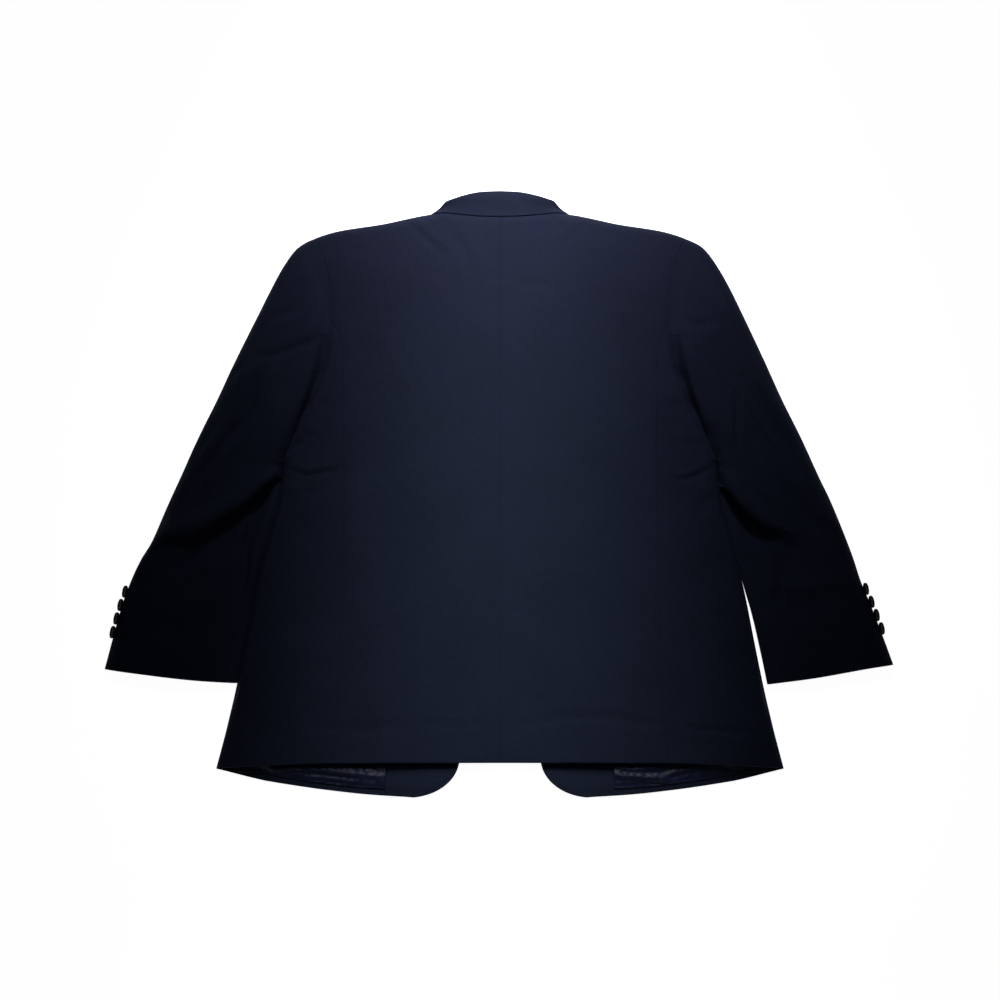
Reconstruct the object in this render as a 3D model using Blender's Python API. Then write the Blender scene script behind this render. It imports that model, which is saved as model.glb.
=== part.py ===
"""A single-breasted wool blazer lying face down on a flat surface, with its back up.

Lengths in this file are millimetres, and MM turns them into the scene's metres.
X runs across the garment, +Y runs from hem to collar, and +Z is up.
The origin is on the surface, under the middle of the garment's outline.

Each cloth piece is a wall between two grids of points. One grid is the face
that shows, read from the sizes and short tables below. The other is the same
grid, moved inwards by the thickness of the cloth.
"""

import math

import bmesh
import bpy
import numpy as np
from mathutils import Matrix, Vector

MM = 0.001
FOOTPRINT_MIDDLE_Y = 60.3      # middle of the outline, in the garment's own Y

# Cloth
CLOTH = 2.2                    # body cloth with its canvas or backing
SLEEVE_CLOTH = 1.8
FACING_CLOTH = 1.6
LINING_CLOTH = 1.0
COLLAR_CLOTH = 1.9             # lapels and collar, pressed flat
COLLAR_EASED = 0.9             # it is stretched this much thinner where it turns at the neck
SEAM_GAP = 0.3                 # between pieces that are sewn together

# Body, for one half of the garment
SHOULDER_POINT_X = 260.0       # where the shoulder seam meets the sleeve
SHOULDER_POINT_Y = 382.5
UNDERARM_Y = 46.0              # lowest point of the armhole, on the side fold
BACK_SEAM_TOP_Y = 245.0        # where the side back seam runs into the armhole
FRONT_SEAM_TOP_Y = 150.0       # where the seam under the arm runs into the armhole
NECK_POINT = (88.0, 435.5)     # where neck and shoulder seams meet
NECK_DIP = 5.5                 # the back neck is this much lower at its middle
SIDE_FOLD_Z = 4.8              # height of the outermost line of the side fold
SIDE_ROLL_TOP = 16.0           # width over which the back rolls into the side fold
SIDE_ROLL_UNDER = 6.0
SHOULDER_ROLL_TOP = 24.0       # the same at the padded shoulder
SHOULDER_ROLL_UNDER = 13.0
SHOULDER_RIDGE_SHARE = 0.45    # height of the shoulder seam, as a share of the padding's
RIDGE_CLIMB = (90.0, 240.0)    # the outline starts to rise at this level, over this length

# Fronts
CORNER_CENTRE = (100.0, -306.5)   # the rounded lower corner is a quarter ellipse
CORNER_SIZE = (55.0, 40.0)
LAPEL_LIFT = 2.5               # the front lies this much higher, over lapel and collar
BUTTON_LIFT = 3.5              # and over its buttons
BUTTON_STRIP = 40.0            # width of the edge strip that lies on the buttons
FACING_TOP_Y = -2.0
FACING_SET_BACK = 0.6          # its edge stands this far inside the front's
FACING_AIR = 0.35              # between the front and its facing
LINING_TOP_Y = -248.0
LINING_OUTER_X = 293.0
LINING_HEM_RISE = 11.0         # the lining ends this far above the cloth's edge
LINING_AIR = 0.5
LINING_PUFF = 2.6              # height of the fold that runs along its hem
LINING_RIPPLE = 0.7            # height of its cross ripples

# Buttons
FRONT_BUTTON = {"diameter": 20.0, "thickness": 3.0, "rim": 1.6, "sides": 20}
CUFF_BUTTON = {"diameter": 14.5, "thickness": 2.8, "rim": 1.3, "sides": 14}
FRONT_BUTTON_PLACES = ((23.0, -22.0), (27.0, -122.0))
CUFF_BUTTON_RISES = (42.0, 58.0, 74.0, 90.0)   # from the edge of the cuff
CUFF_BUTTON_ACROSS = 0.006     # share of the cuff's width from its outer edge

# Each table row is one level of the garment, from hem to collar.
SIDE_FOLD = (                  # half width of the body at its side fold
    {"y": -317.5, "x": 312.5}, {"y": -270.0, "x": 305.5}, {"y": -225.0, "x": 300.5},
    {"y": -180.0, "x": 296.5}, {"y": -120.0, "x": 291.5}, {"y": -60.0, "x": 283.5},
    {"y": 0.0, "x": 274.8}, {"y": 46.0, "x": 273.5},
)
SIDE_WIDENING = 0.85           # above the underarm the fold line is drawn out this fast
ARMHOLE = (
    {"y": 46.0, "x": 273.5}, {"y": 52.0, "x": 272.6}, {"y": 60.0, "x": 270.2},
    {"y": 70.0, "x": 266.5}, {"y": 110.0, "x": 252.5}, {"y": 150.0, "x": 239.5},
    {"y": 190.0, "x": 230.0}, {"y": 235.0, "x": 225.5}, {"y": 290.0, "x": 229.5},
    {"y": 340.0, "x": 241.0}, {"y": 382.5, "x": 260.0},
)
SIDE_BACK_SEAM = (
    {"y": -318.0, "x": 184.5}, {"y": -240.0, "x": 183.0}, {"y": -100.0, "x": 189.0},
    {"y": 40.0, "x": 196.5}, {"y": 140.0, "x": 203.5}, {"y": 200.0, "x": 208.0},
    {"y": 226.0, "x": 214.5}, {"y": 245.0, "x": 225.7},
)
UNDERARM_SEAM = (
    {"y": -332.0, "x": 256.0}, {"y": -250.0, "x": 251.0}, {"y": -150.0, "x": 244.0},
    {"y": 0.0, "x": 235.0}, {"y": 100.0, "x": 234.5}, {"y": 150.0, "x": 239.5},
)
SHOULDER = (                   # outline of the shoulder, by distance from the middle
    {"x": 0.0, "y": 530.0}, {"x": 60.0, "y": 462.0}, {"x": 88.0, "y": 435.5},
    {"x": 114.0, "y": 427.5}, {"x": 142.0, "y": 418.5}, {"x": 170.0, "y": 410.5},
    {"x": 198.0, "y": 403.5}, {"x": 226.0, "y": 396.0}, {"x": 248.0, "y": 388.0},
    {"x": 262.0, "y": 381.5},
)
BACK_HEM = (
    {"x": 0.0, "y": -310.9}, {"x": 184.0, "y": -311.2}, {"x": 250.0, "y": -313.4},
    {"x": 290.0, "y": -315.2}, {"x": 312.5, "y": -316.8},
)
FRONT_HEM = (
    {"x": 90.0, "y": -346.5}, {"x": 150.0, "y": -343.5}, {"x": 200.0, "y": -338.5},
    {"x": 256.0, "y": -329.5}, {"x": 312.5, "y": -316.8},
)
ROLL_LINE = (                  # the fold of lapel and collar, round the neck
    {"y": -20.0, "x": 3.0}, {"y": 60.0, "x": 17.0}, {"y": 150.0, "x": 35.0},
    {"y": 250.0, "x": 54.5}, {"y": 339.0, "x": 71.5}, {"y": 382.0, "x": 79.5},
    {"y": 408.0, "x": 83.0}, {"y": 440.0, "x": 85.0},
)
FRONT_EDGE = (                 # below the roll line the fronts part, cut away
    {"y": -306.5, "x": 45.0}, {"y": -270.0, "x": 33.0}, {"y": -210.0, "x": 20.0},
    {"y": -140.0, "x": 9.5}, {"y": -80.0, "x": 4.5}, {"y": -20.0, "x": 3.0},
)
FACING_EDGE = (                # inner edge of the facing
    {"y": -350.0, "x": 126.0}, {"y": -300.0, "x": 123.0}, {"y": -200.0, "x": 111.0},
    {"y": -100.0, "x": 100.0}, {"y": 0.0, "x": 93.0},
)
LIFT_EDGE = (                  # how far out the front lies on its lapel and collar
    {"y": -60.0, "x": 30.0}, {"y": -20.0, "x": 36.0}, {"y": 5.0, "x": 43.0},
    {"y": 50.0, "x": 62.0}, {"y": 105.0, "x": 80.0}, {"y": 165.0, "x": 103.5}, {"y": 220.0, "x": 118.0},
    {"y": 268.0, "x": 127.0}, {"y": 310.0, "x": 128.0}, {"y": 360.0, "x": 126.5},
    {"y": 405.0, "x": 125.0}, {"y": 440.0, "x": 122.0},
)
# Height of the back's upper face above the surface, at four distances from its middle.
BACK_HEIGHT_X = (0.0, 60.0, 150.0, 240.0)
BACK_HEIGHT = (
    {"y": -325.0, "z": (11.0, 12.6, 14.2, 13.2)}, {"y": -290.0, "z": (12.0, 12.9, 14.3, 13.4)},
    {"y": -200.0, "z": (12.9, 13.5, 14.4, 13.9)}, {"y": -60.0, "z": (13.4, 14.0, 14.8, 14.6)},
    {"y": 60.0, "z": (14.5, 15.0, 16.0, 17.0)}, {"y": 160.0, "z": (15.6, 16.2, 18.0, 20.5)},
    {"y": 260.0, "z": (16.8, 17.8, 21.6, 26.5)}, {"y": 340.0, "z": (17.6, 18.6, 25.0, 31.0)},
    {"y": 400.0, "z": (17.7, 18.0, 25.0, 31.5)}, {"y": 450.0, "z": (17.7, 17.8, 23.0, 29.0)},
)

# Lapel: each row runs from the roll line to the lapel's free edge.
LAPEL = (
    {"roll_y": 12.0, "mid": (18.0, 9.5), "edge": (26.0, 7.0)},
    {"roll_y": 60.0, "mid": (31.0, 55.0), "edge": (46.0, 50.0)},
    {"roll_y": 125.0, "mid": (52.0, 116.0), "edge": (76.0, 105.0)},
    {"roll_y": 195.0, "mid": (71.0, 181.0), "edge": (100.0, 165.0)},
    {"roll_y": 265.0, "mid": (84.0, 242.0), "edge": (114.5, 220.0)},
    {"roll_y": 338.8, "mid": (95.3, 307.5), "edge": (123.5, 268.0)},
)
# Collar: the face that shows goes from the neck seam over the fold to the free edge.
# turn is the way from the lower leaf to the upper one, in degrees from +Z to +Y.
COLLAR = (
    {"seam": (0.0, 430.4, 15.4), "fold": (0.0, 467.0, 18.1), "mid": (0.0, 446.0, 21.4),
     "edge": (0.0, 423.0, 21.0), "turn": 0.0},
    {"seam": (28.0, 430.9, 15.4), "fold": (29.0, 465.0, 18.1), "mid": (30.0, 445.0, 21.4),
     "edge": (31.0, 424.0, 21.0), "turn": 2.0},
    {"seam": (54.0, 432.8, 15.4), "fold": (53.0, 458.5, 17.6), "mid": (57.0, 442.5, 21.2),
     "edge": (62.0, 427.5, 21.0), "turn": 12.0},
    {"seam": (70.0, 435.5, 14.2), "fold": (68.0, 452.0, 15.6), "mid": (73.5, 441.5, 19.8),
     "edge": (80.0, 429.5, 20.0), "turn": 35.0},
    {"seam": (78.5, 438.5, 10.5), "fold": (76.5, 447.5, 11.0), "mid": (84.0, 441.5, 15.6),
     "edge": (91.0, 430.6, 17.6), "turn": 75.0},
    {"seam": (86.5, 437.0, 8.0), "fold": (81.5, 442.5, 5.0), "mid": (91.5, 440.5, 6.0),
     "edge": (100.0, 434.8, 7.6), "turn": 125.0},
    {"seam": (89.1, 426.0, 6.0), "fold": (83.6, 428.0, 3.0), "mid": (98.0, 428.0, 0.2),
     "edge": (113.5, 424.5, 0.2), "turn": 172.0},
    {"seam": (88.1, 405.0, 6.0), "fold": (82.6, 405.0, 3.0), "mid": (102.0, 405.0, 0.0),
     "edge": (121.0, 404.0, 0.0), "turn": 180.0},
    {"seam": (85.0, 382.0, 6.0), "fold": (79.5, 382.0, 3.0), "mid": (101.0, 380.0, 0.0),
     "edge": (122.0, 379.0, 0.0), "turn": 180.0},
    {"seam": (80.9, 359.0, 6.0), "fold": (75.4, 359.0, 3.0), "mid": (98.5, 350.0, 0.0),
     "edge": (120.0, 349.0, 0.0), "turn": 180.0},
    {"seam": (77.2, 340.4, 6.0), "fold": (71.7, 340.4, 3.0), "mid": (96.0, 308.0, 0.0),
     "edge": (117.0, 322.0, 0.0), "turn": 180.0},
)
COLLAR_ROWS_BETWEEN = (        # after each station; twice as many where the collar turns
    (1.0,), (1.0,), (0.5, 1.0), (0.5, 1.0), (0.5, 1.0), (0.5, 1.0), (1.0,), (1.0,), (1.0,), (1.0,),
)
STAND_LEAD = 5.5               # from the roll line to where the turned leaf joins the front
FOLD_LEAD = 4.5                # the leaves are flat again this far from their fold
LEAF_SPACING = 3.0             # half the distance between the leaves' outer faces

# Sleeves. side is -1 for the wearer's left, which is the left of the photograph.
# share runs from the shoulder to the cuff; rows of the sleeve fan round the underarm.
LEFT_SLEEVE = {
    "side": -1.0,
    "outer": ((260.3, 382.5), (272.0, 375.5), (281.5, 366.5), (289.5, 354.0), (304.5, 321.0),
              (327.5, 256.0), (348.5, 194.0), (366.5, 135.0), (385.0, 78.0), (400.5, 23.0),
              (411.5, -16.0), (422.5, -57.0), (433.0, -81.0), (440.5, -106.0),
              (446.5, -135.0), (454.5, -209.0)),
    "inner": ((273.8, 46.0), (274.5, 41.5), (275.0, 33.0), (276.0, 0.0), (284.7, -60.0),
              (292.7, -120.0), (297.8, -180.0), (301.8, -224.5)),
    "cuff": ((454.5, -209.0), (430.0, -212.5), (345.0, -222.0), (301.8, -224.5)),
    "fold_at": 0.752, "fold_bow": 0.012,
    "fold_size": ((0.0, 0.0), (0.05, 0.05), (0.12, 0.3), (0.28, 0.85), (0.4, 1.0), (0.58, 1.0),
                  (0.74, 0.6), (0.88, 0.0), (1.0, 0.0)),
}
RIGHT_SLEEVE = {
    "side": 1.0,
    "outer": ((260.3, 382.5), (272.0, 375.5), (282.5, 366.5), (291.0, 354.0), (306.5, 321.0),
              (329.0, 256.0), (348.5, 194.0), (365.5, 135.0), (384.5, 78.0), (400.0, 23.0),
              (408.5, -4.0), (421.0, -55.0), (426.5, -80.0), (431.0, -106.0),
              (437.5, -131.0), (453.0, -204.0)),
    "inner": ((273.8, 46.0), (274.5, 41.5), (275.0, 33.0), (276.0, 0.0), (284.7, -60.0),
              (291.4, -105.0), (297.6, -148.0), (303.0, -199.0), (305.5, -226.5)),
    "cuff": ((453.0, -204.0), (430.0, -207.5), (360.0, -219.5), (305.5, -226.5)),
    "fold_at": 0.772, "fold_bow": 0.045,
    "fold_size": ((0.0, 0.0), (0.30, 0.0), (0.42, 0.4), (0.54, 0.8), (0.64, 0.8),
                  (0.77, 0.4), (0.88, 0.0), (1.0, 0.0)),
}
INNER_Y_BY_SHARE = (           # how the rows' inner ends leave the underarm
    (0.0, 46.0), (0.3, 42.0), (0.6, 37.0), (0.74, 28.0), (0.79, 12.0),
    (0.85, -58.0), (0.92, -138.0), (1.0, -226.0),
)
SLEEVE_HEIGHT_ACROSS = (0.0, 0.5, 1.0)      # at the outer edge, the middle, the inner edge
SLEEVE_HEIGHT = (
    {"share": 0.0, "z": (31.0, 24.0, 13.0)}, {"share": 0.06, "z": (32.5, 28.5, 17.0)},
    {"share": 0.25, "z": (28.0, 25.5, 17.0)}, {"share": 0.5, "z": (22.5, 22.5, 17.0)},
    {"share": 0.72, "z": (18.5, 21.0, 17.5)}, {"share": 0.80, "z": (15.5, 17.0, 14.0)},
    {"share": 0.90, "z": (13.5, 13.5, 10.0)}, {"share": 1.0, "z": (11.5, 11.8, 9.5)},
)
# The fold across the sleeve: the cloth advances over itself, turns back under and comes out.
SLEEVE_FOLD = (
    {"after": -0.090, "advance": 0.0, "rise": 0.5}, {"after": -0.050, "advance": 2.0, "rise": 3.0},
    {"after": -0.022, "advance": 8.0, "rise": 6.8}, {"after": -0.006, "advance": 14.0, "rise": 8.4},
    {"after": 0.000, "advance": 18.5, "rise": 7.4}, {"after": 0.004, "advance": 20.5, "rise": 4.6},
    {"after": 0.008, "advance": 18.0, "rise": 2.2}, {"after": 0.012, "advance": 11.0, "rise": 1.0},
    {"after": 0.016, "advance": 2.5, "rise": 0.0}, {"after": 0.020, "advance": -3.0, "rise": -2.4},
    {"after": 0.025, "advance": -3.0, "rise": -5.2}, {"after": 0.032, "advance": 1.0, "rise": -6.8},
    {"after": 0.050, "advance": 2.0, "rise": -6.6}, {"after": 0.090, "advance": 0.0, "rise": -3.0},
)
SLEEVE_ROWS_BEFORE_FOLD = (0.0, 0.015, 0.045, 0.10, 0.18, 0.28, 0.39, 0.50, 0.595)
SLEEVE_ROWS_AFTER_FOLD = (0.90, 0.95, 1.0)
SLEEVE_ROLL_TOP = 17.0
SLEEVE_ROLL_UNDER = 9.0
SLEEVE_RIDGE_SHARE = 0.43
PUFF_SHARE = 0.05              # the sleeve stands up from its seam over this share
BOW_START = 0.45               # below this share the fold bows across the sleeve
ELBOW_SEAM_Y = 222.0           # where it starts on the armhole
ELBOW_SEAM_AT_CUFF = 0.075     # share of the cuff's width from its outer edge
INSEAM_Y = 150.0
INSEAM_AT_CUFF = 0.86

# Colours, linear
NAVY = (0.012, 0.017, 0.032, 1.0)
LINING_BLACK = (0.016, 0.016, 0.024, 1.0)
BUTTON_BLACK = (0.008, 0.009, 0.013, 1.0)


def smooth(x, xs, ys):
    """The value at x of a smooth curve through (xs, ys), with no overshoot at its turns."""
    xs = np.asarray(xs, float)
    ys = np.asarray(ys, float)
    if xs[0] > xs[-1]:
        xs, ys = xs[::-1], ys[::-1]
    steps = np.diff(xs)
    slopes = np.diff(ys) / steps
    bends = np.empty_like(ys)
    bends[0], bends[-1] = slopes[0], slopes[-1]
    before, after = slopes[:-1], slopes[1:]
    same_way = before * after > 0
    total = np.where(same_way, before + after, 1.0)
    bends[1:-1] = np.where(same_way, 2 * before * after / total, 0.0)
    x = np.clip(np.asarray(x, float), xs[0], xs[-1])
    i = np.clip(np.searchsorted(xs, x) - 1, 0, len(xs) - 2)
    h = steps[i]
    t = (x - xs[i]) / h
    rise = (1 + 2 * t) * (1 - t) ** 2 * ys[i] + t * t * (3 - 2 * t) * ys[i + 1]
    lean = t * (1 - t) ** 2 * bends[i] - t * t * (1 - t) * bends[i + 1]
    return rise + h * lean


def read(table, key, name, at):
    """Column name of a table, at a value of its key column."""
    return smooth(at, [row[key] for row in table], [row[name] for row in table])


def ease(x):
    x = np.clip(x, 0.0, 1.0)
    return x * x * (3 - 2 * x)


def arch(share):
    """Quarter circle: 0 at the edge and 1 where the roll ends."""
    return np.sqrt(1 - (1 - np.clip(share, 0.0, 1.0)) ** 2)


def along(points, shares):
    """Points at these shares of the length of a smooth curve through the given points."""
    points = np.asarray(points, float)
    steps = np.linalg.norm(np.diff(points, axis=0), axis=1)
    reach = np.concatenate([[0.0], np.cumsum(steps)])
    at = np.asarray(shares, float) * reach[-1]
    return np.stack([smooth(at, reach, points[:, k]) for k in range(points.shape[1])], axis=-1)


# ---------------------------------------------------------------- the body's two faces

def side_fold_x(y):
    above = np.maximum(np.asarray(y, float) - UNDERARM_Y, 0.0)
    return read(SIDE_FOLD, "y", "x", y) + SIDE_WIDENING * above


def back_height(x, y):
    """Height of the back's upper face, away from its rolled edges."""
    levels = [row["y"] for row in BACK_HEIGHT]
    columns = [smooth(y, levels, [row["z"][k] for row in BACK_HEIGHT]) for k in range(4)]
    stations = np.array(BACK_HEIGHT_X)
    x = np.clip(np.abs(x), stations[0], stations[-1])
    k = np.clip(np.searchsorted(stations, x) - 1, 0, 2)
    t = ease((x - stations[k]) / (stations[k + 1] - stations[k]))
    low = np.choose(k, columns[:3])
    high = np.choose(k, columns[1:])
    return low + (high - low) * t


def ridge_height(x, y):
    """Height of the body's outermost line: low at the side folds, high at the shoulders."""
    shoulder = SHOULDER_RIDGE_SHARE * back_height(x, y)
    climb = ease((np.asarray(y, float) - RIDGE_CLIMB[0]) / RIDGE_CLIMB[1])
    return SIDE_FOLD_Z + (shoulder - SIDE_FOLD_Z) * climb


def back_z(x, y):
    """Upper face of the back and side panels."""
    x = np.abs(x)
    at_side = arch((side_fold_x(y) - x) / SIDE_ROLL_TOP)
    at_shoulder = arch((read(SHOULDER, "x", "y", x) - y) / SHOULDER_ROLL_TOP)
    ridge = ridge_height(x, y)
    return ridge + (back_height(x, y) - ridge) * at_side * at_shoulder


def lift(x, y, on_buttons):
    """How much higher the front lies, over its lapel, its collar and its buttons."""
    edge = read(LIFT_EDGE, "y", "x", y)
    over_lapel = LAPEL_LIFT * ease((y + 66.0) / 36.0) * (1 - ease((x - edge) / 11.0))
    if not on_buttons:
        return over_lapel
    strip = 1 - ease((x - front_edge_x(y) - BUTTON_STRIP) / 20.0)
    over_buttons = BUTTON_LIFT * ease((y + 228.0) / 42.0) * (1 - ease((y - 2.0) / 26.0)) * strip
    return np.maximum(over_lapel, over_buttons)


def front_z(x, y, on_buttons):
    """Under face of the fronts and side panels, which lies on the surface."""
    x = np.abs(x)
    at_side = arch((side_fold_x(y) - x) / SIDE_ROLL_UNDER)
    at_shoulder = arch((read(SHOULDER, "x", "y", x) - y) / SHOULDER_ROLL_UNDER)
    base = lift(x, y, on_buttons)
    return base + (ridge_height(x, y) - base) * (1 - at_side * at_shoulder)


def front_edge_x(y):
    """Inner edge of a front: rounded corner, cut-away edge, then the roll line."""
    y = np.asarray(y, float)
    down = np.clip((CORNER_CENTRE[1] - y) / CORNER_SIZE[1], 0.0, 1.0)
    corner = CORNER_CENTRE[0] - CORNER_SIZE[0] * np.sqrt(1 - down ** 2)
    edge = read(FRONT_EDGE, "y", "x", y)
    roll = read(ROLL_LINE, "y", "x", y)
    turned = ease((y + 52.0) / 32.0) * (STAND_LEAD + 0.9)
    return np.where(y < CORNER_CENTRE[1], corner, np.where(y < -20.0, edge, roll) + turned)


# ---------------------------------------------------------------- levels shared by neighbours

BACK_SEAM_LEVELS = np.concatenate([
    [-311.2, -303.0, -286.0, -260.0, -226.0, -186.0, -142.0, -96.0, -48.0, 0.0],
    [48.0, 96.0, 140.0, 180.0, 215.0, BACK_SEAM_TOP_Y],
])
BACK_ARMHOLE_LEVELS = np.array([284.0, 322.0, 350.0, 367.0, 377.0, 381.2, SHOULDER_POINT_Y])
UPPER_SIDE_SHARES = np.array([0.0, 0.20, 0.44, 0.68, 0.86, 0.95, 0.986, 1.0])
UNDER_SIDE_SHARES = np.array([1.0, 0.978, 0.91, 0.72, 0.38, 0.0])
FRONT_ARMHOLE_LEVELS = np.array([200.0, 260.0, 315.0, 354.0, 374.0, 381.0, SHOULDER_POINT_Y])


def armhole_x(y):
    return read(ARMHOLE, "y", "x", y)


def level_on_armhole(seam_x, share):
    """Level at which a column of the side panel, at this share of its width, meets the armhole."""
    low = np.full_like(share, UNDERARM_Y, dtype=float)
    high = np.full_like(share, BACK_SEAM_TOP_Y, dtype=float)
    for _ in range(40):
        y = (low + high) / 2
        column = seam_x(y) + share * (side_fold_x(y) - seam_x(y))
        inside = column < armhole_x(y)
        low, high = np.where(inside, y, low), np.where(inside, high, y)
    return y


def side_back_seam_x(y):
    return read(SIDE_BACK_SEAM, "y", "x", y)


def underarm_seam_x(y):
    return read(UNDERARM_SEAM, "y", "x", y)


# ---------------------------------------------------------------- making solids

def normals(grid):
    """Unit normals of a grid of points, by the directions of its rows and columns."""
    rows = np.gradient(grid, axis=0)
    columns = np.gradient(grid, axis=1)
    n = np.cross(columns, rows)
    return n / np.maximum(np.linalg.norm(n, axis=2, keepdims=True), 1e-9)


def material(name, colour, roughness):
    made = bpy.data.materials.get(name)
    if made is None:
        made = bpy.data.materials.new(name)
        made.use_nodes = True
        shader = made.node_tree.nodes["Principled BSDF"]
        shader.inputs["Base Color"].default_value = colour
        shader.inputs["Roughness"].default_value = roughness
        shader.inputs["Metallic"].default_value = 0.0
    return made


def add_object(name, points, faces, finish):
    """One object from points in millimetres in the garment's own frame."""
    points = (np.asarray(points, float) - (0.0, FOOTPRINT_MIDDLE_Y, 0.0)) * MM
    mesh = bpy.data.meshes.new(name)
    mesh.from_pydata([tuple(p) for p in points], [], faces)
    mesh.shade_smooth()
    mesh.set_sharp_from_angle(angle=math.radians(50))
    mesh.materials.append(finish)
    obj = bpy.data.objects.new(name, mesh)
    bpy.context.scene.collection.objects.link(obj)
    return obj


def wall(name, face, finish, back):
    """A closed wall of cloth: the face that shows, the face behind it and the rim round both."""
    rows, columns = face.shape[:2]
    points = np.concatenate([face.reshape(-1, 3), back.reshape(-1, 3)])
    behind = rows * columns

    def at(i, j):
        return i * columns + j

    faces = []
    for i in range(rows - 1):
        for j in range(columns - 1):
            quad = (at(i, j), at(i, j + 1), at(i + 1, j + 1), at(i + 1, j))
            faces.append(quad)
            faces.append(tuple(behind + k for k in turned_over(quad)))
    rim = [at(0, j) for j in range(columns)]
    rim += [at(i, columns - 1) for i in range(1, rows)]
    rim += [at(rows - 1, j) for j in range(columns - 2, -1, -1)]
    rim += [at(i, 0) for i in range(rows - 2, 0, -1)]
    for a, b in zip(rim, rim[1:] + rim[:1]):
        faces.append((b, a, behind + a, behind + b))
    if float((normals(face) * (face - back)).sum()) < 0:
        faces = [turned_over(f) for f in faces]
    return add_object(name, points, faces, finish)


def turned_over(quad):
    """The quad seen from behind. Its first corner stays first, so it splits the same way."""
    return (quad[0], quad[3], quad[2], quad[1])


def inner_face(face, thickness, level_edge=None):
    """The face behind, moved in square to the face that shows. At level_edge, a slice of the
    last row, it is moved in level, so that two such edges meet without crossing."""
    out = normals(face)
    if level_edge is not None:
        out[-1, level_edge, 2] = 0.0
        out[-1, level_edge] /= np.linalg.norm(out[-1, level_edge], axis=-1, keepdims=True)
    return face - thickness * out


def mirrored(face, side):
    return face * (side, 1.0, 1.0)


# ---------------------------------------------------------------- body panels

def back_panel(side, name, finish):
    """Half of the back, from its middle seam to the side seam and the armhole."""
    levels = np.concatenate([BACK_SEAM_LEVELS, BACK_ARMHOLE_LEVELS])
    climb = (levels - levels[0]) / (levels[-1] - levels[0])
    neck_share = NECK_POINT[0] / SHOULDER_POINT_X
    across = np.array([
        0.0, 0.09, 0.19, 0.29, neck_share, 0.42, 0.52, 0.62, 0.72, 0.81, 0.89, 0.95, 1.0,
    ])
    neck = across <= neck_share
    top_x = across * SHOULDER_POINT_X
    top_y = np.where(
        neck,
        NECK_POINT[1] - NECK_DIP * (1 - (top_x / NECK_POINT[0]) ** 2),
        read(SHOULDER, "x", "y", top_x),
    )
    top_y[-1] = SHOULDER_POINT_Y
    face = np.empty((len(levels), len(across), 3))
    for j, share in enumerate(across):
        low = read(BACK_HEM, "x", "y", share * side_back_seam_x(levels[0]))
        y = low + climb * (top_y[j] - low)
        if share == 1.0:
            y = levels
        edge = np.where(y <= BACK_SEAM_TOP_Y, side_back_seam_x(y), armhole_x(y))
        x = SEAM_GAP / 2 + share * (edge - SEAM_GAP)
        face[:, j] = np.stack([x, y, back_z(x, y)], axis=-1)
    face[-1, 4:, 2] += SEAM_GAP / 2
    inner = inner_face(face, CLOTH, slice(4, None))
    wall(name, mirrored(face, side), finish, mirrored(inner, side))
    return face, inner


def side_panel(side, name, finish):
    """The side body: from the side back seam, round the side fold, to the seam under the arm."""
    hem_to_top = (BACK_SEAM_LEVELS - BACK_SEAM_LEVELS[0]) / (BACK_SEAM_TOP_Y - BACK_SEAM_LEVELS[0])
    columns = []
    tops = level_on_armhole(side_back_seam_x, UPPER_SIDE_SHARES)
    tops[0], tops[-1] = BACK_SEAM_TOP_Y, UNDERARM_Y
    for share, top in zip(UPPER_SIDE_SHARES, tops):
        seam = side_back_seam_x(BACK_SEAM_LEVELS[0])
        fold = side_fold_x(BACK_SEAM_LEVELS[0])
        low = read(BACK_HEM, "x", "y", seam + share * (fold - seam))
        y = BACK_SEAM_LEVELS if share == 0.0 else low + hem_to_top * (top - low)
        seam, fold = side_back_seam_x(y) + SEAM_GAP / 2, side_fold_x(y)
        x = seam + share * (fold - seam)
        columns.append(np.stack([x, y, back_z(x, y)], axis=-1))
    under_tops = level_on_armhole(underarm_seam_x, UNDER_SIDE_SHARES)
    under_tops[0], under_tops[-1] = UNDERARM_Y, FRONT_SEAM_TOP_Y
    for share, top in zip(UNDER_SIDE_SHARES[1:], under_tops[1:]):
        seam = underarm_seam_x(-329.0)
        fold = side_fold_x(-317.0)
        low = read(FRONT_HEM, "x", "y", seam + share * (fold - seam))
        y = low + hem_to_top * (top - low)
        seam, fold = underarm_seam_x(y) + SEAM_GAP / 2, side_fold_x(y)
        x = seam + share * (fold - seam)
        columns.append(np.stack([x, y, front_z(x, y, False)], axis=-1))
    face = np.stack(columns, axis=1)
    inner = inner_face(face, CLOTH)
    wall(name, mirrored(face, side), finish, mirrored(inner, side))
    return face, inner


def front_columns(y):
    """Where a front's columns stand at level y. Below the roll line the first seven span the
    facing; above it four span the lapel, and three the slope where the front comes off it."""
    inner = front_edge_x(y)
    outer = np.where(y <= FRONT_SEAM_TOP_Y, underarm_seam_x(y), armhole_x(y)) - SEAM_GAP / 2
    step = np.minimum(read(LIFT_EDGE, "y", "x", y), inner + 0.8 * (outer - inner))
    step = np.maximum(step, inner + 10.0)
    facing = read(FACING_EDGE, "y", "x", y)
    above = ease((y + 20.0) / 90.0)
    places = []
    for low_share, high_share, further in (
        (0.0, 0.0, 0.0), (0.12, 0.33, 0.0), (0.27, 0.67, 0.0), (0.45, 1.0, 0.0),
        (0.63, 1.0, 4.0), (0.81, 1.0, 8.0), (1.0, 1.0, 12.0),
    ):
        below_roll = inner + low_share * (facing - inner)
        over_lapel = inner + high_share * (step - inner) + further
        places.append(below_roll + (over_lapel - below_roll) * above)
    places += [places[6] + share * (outer - places[6]) for share in (0.25, 0.5, 0.75, 1.0)]
    return places


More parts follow.
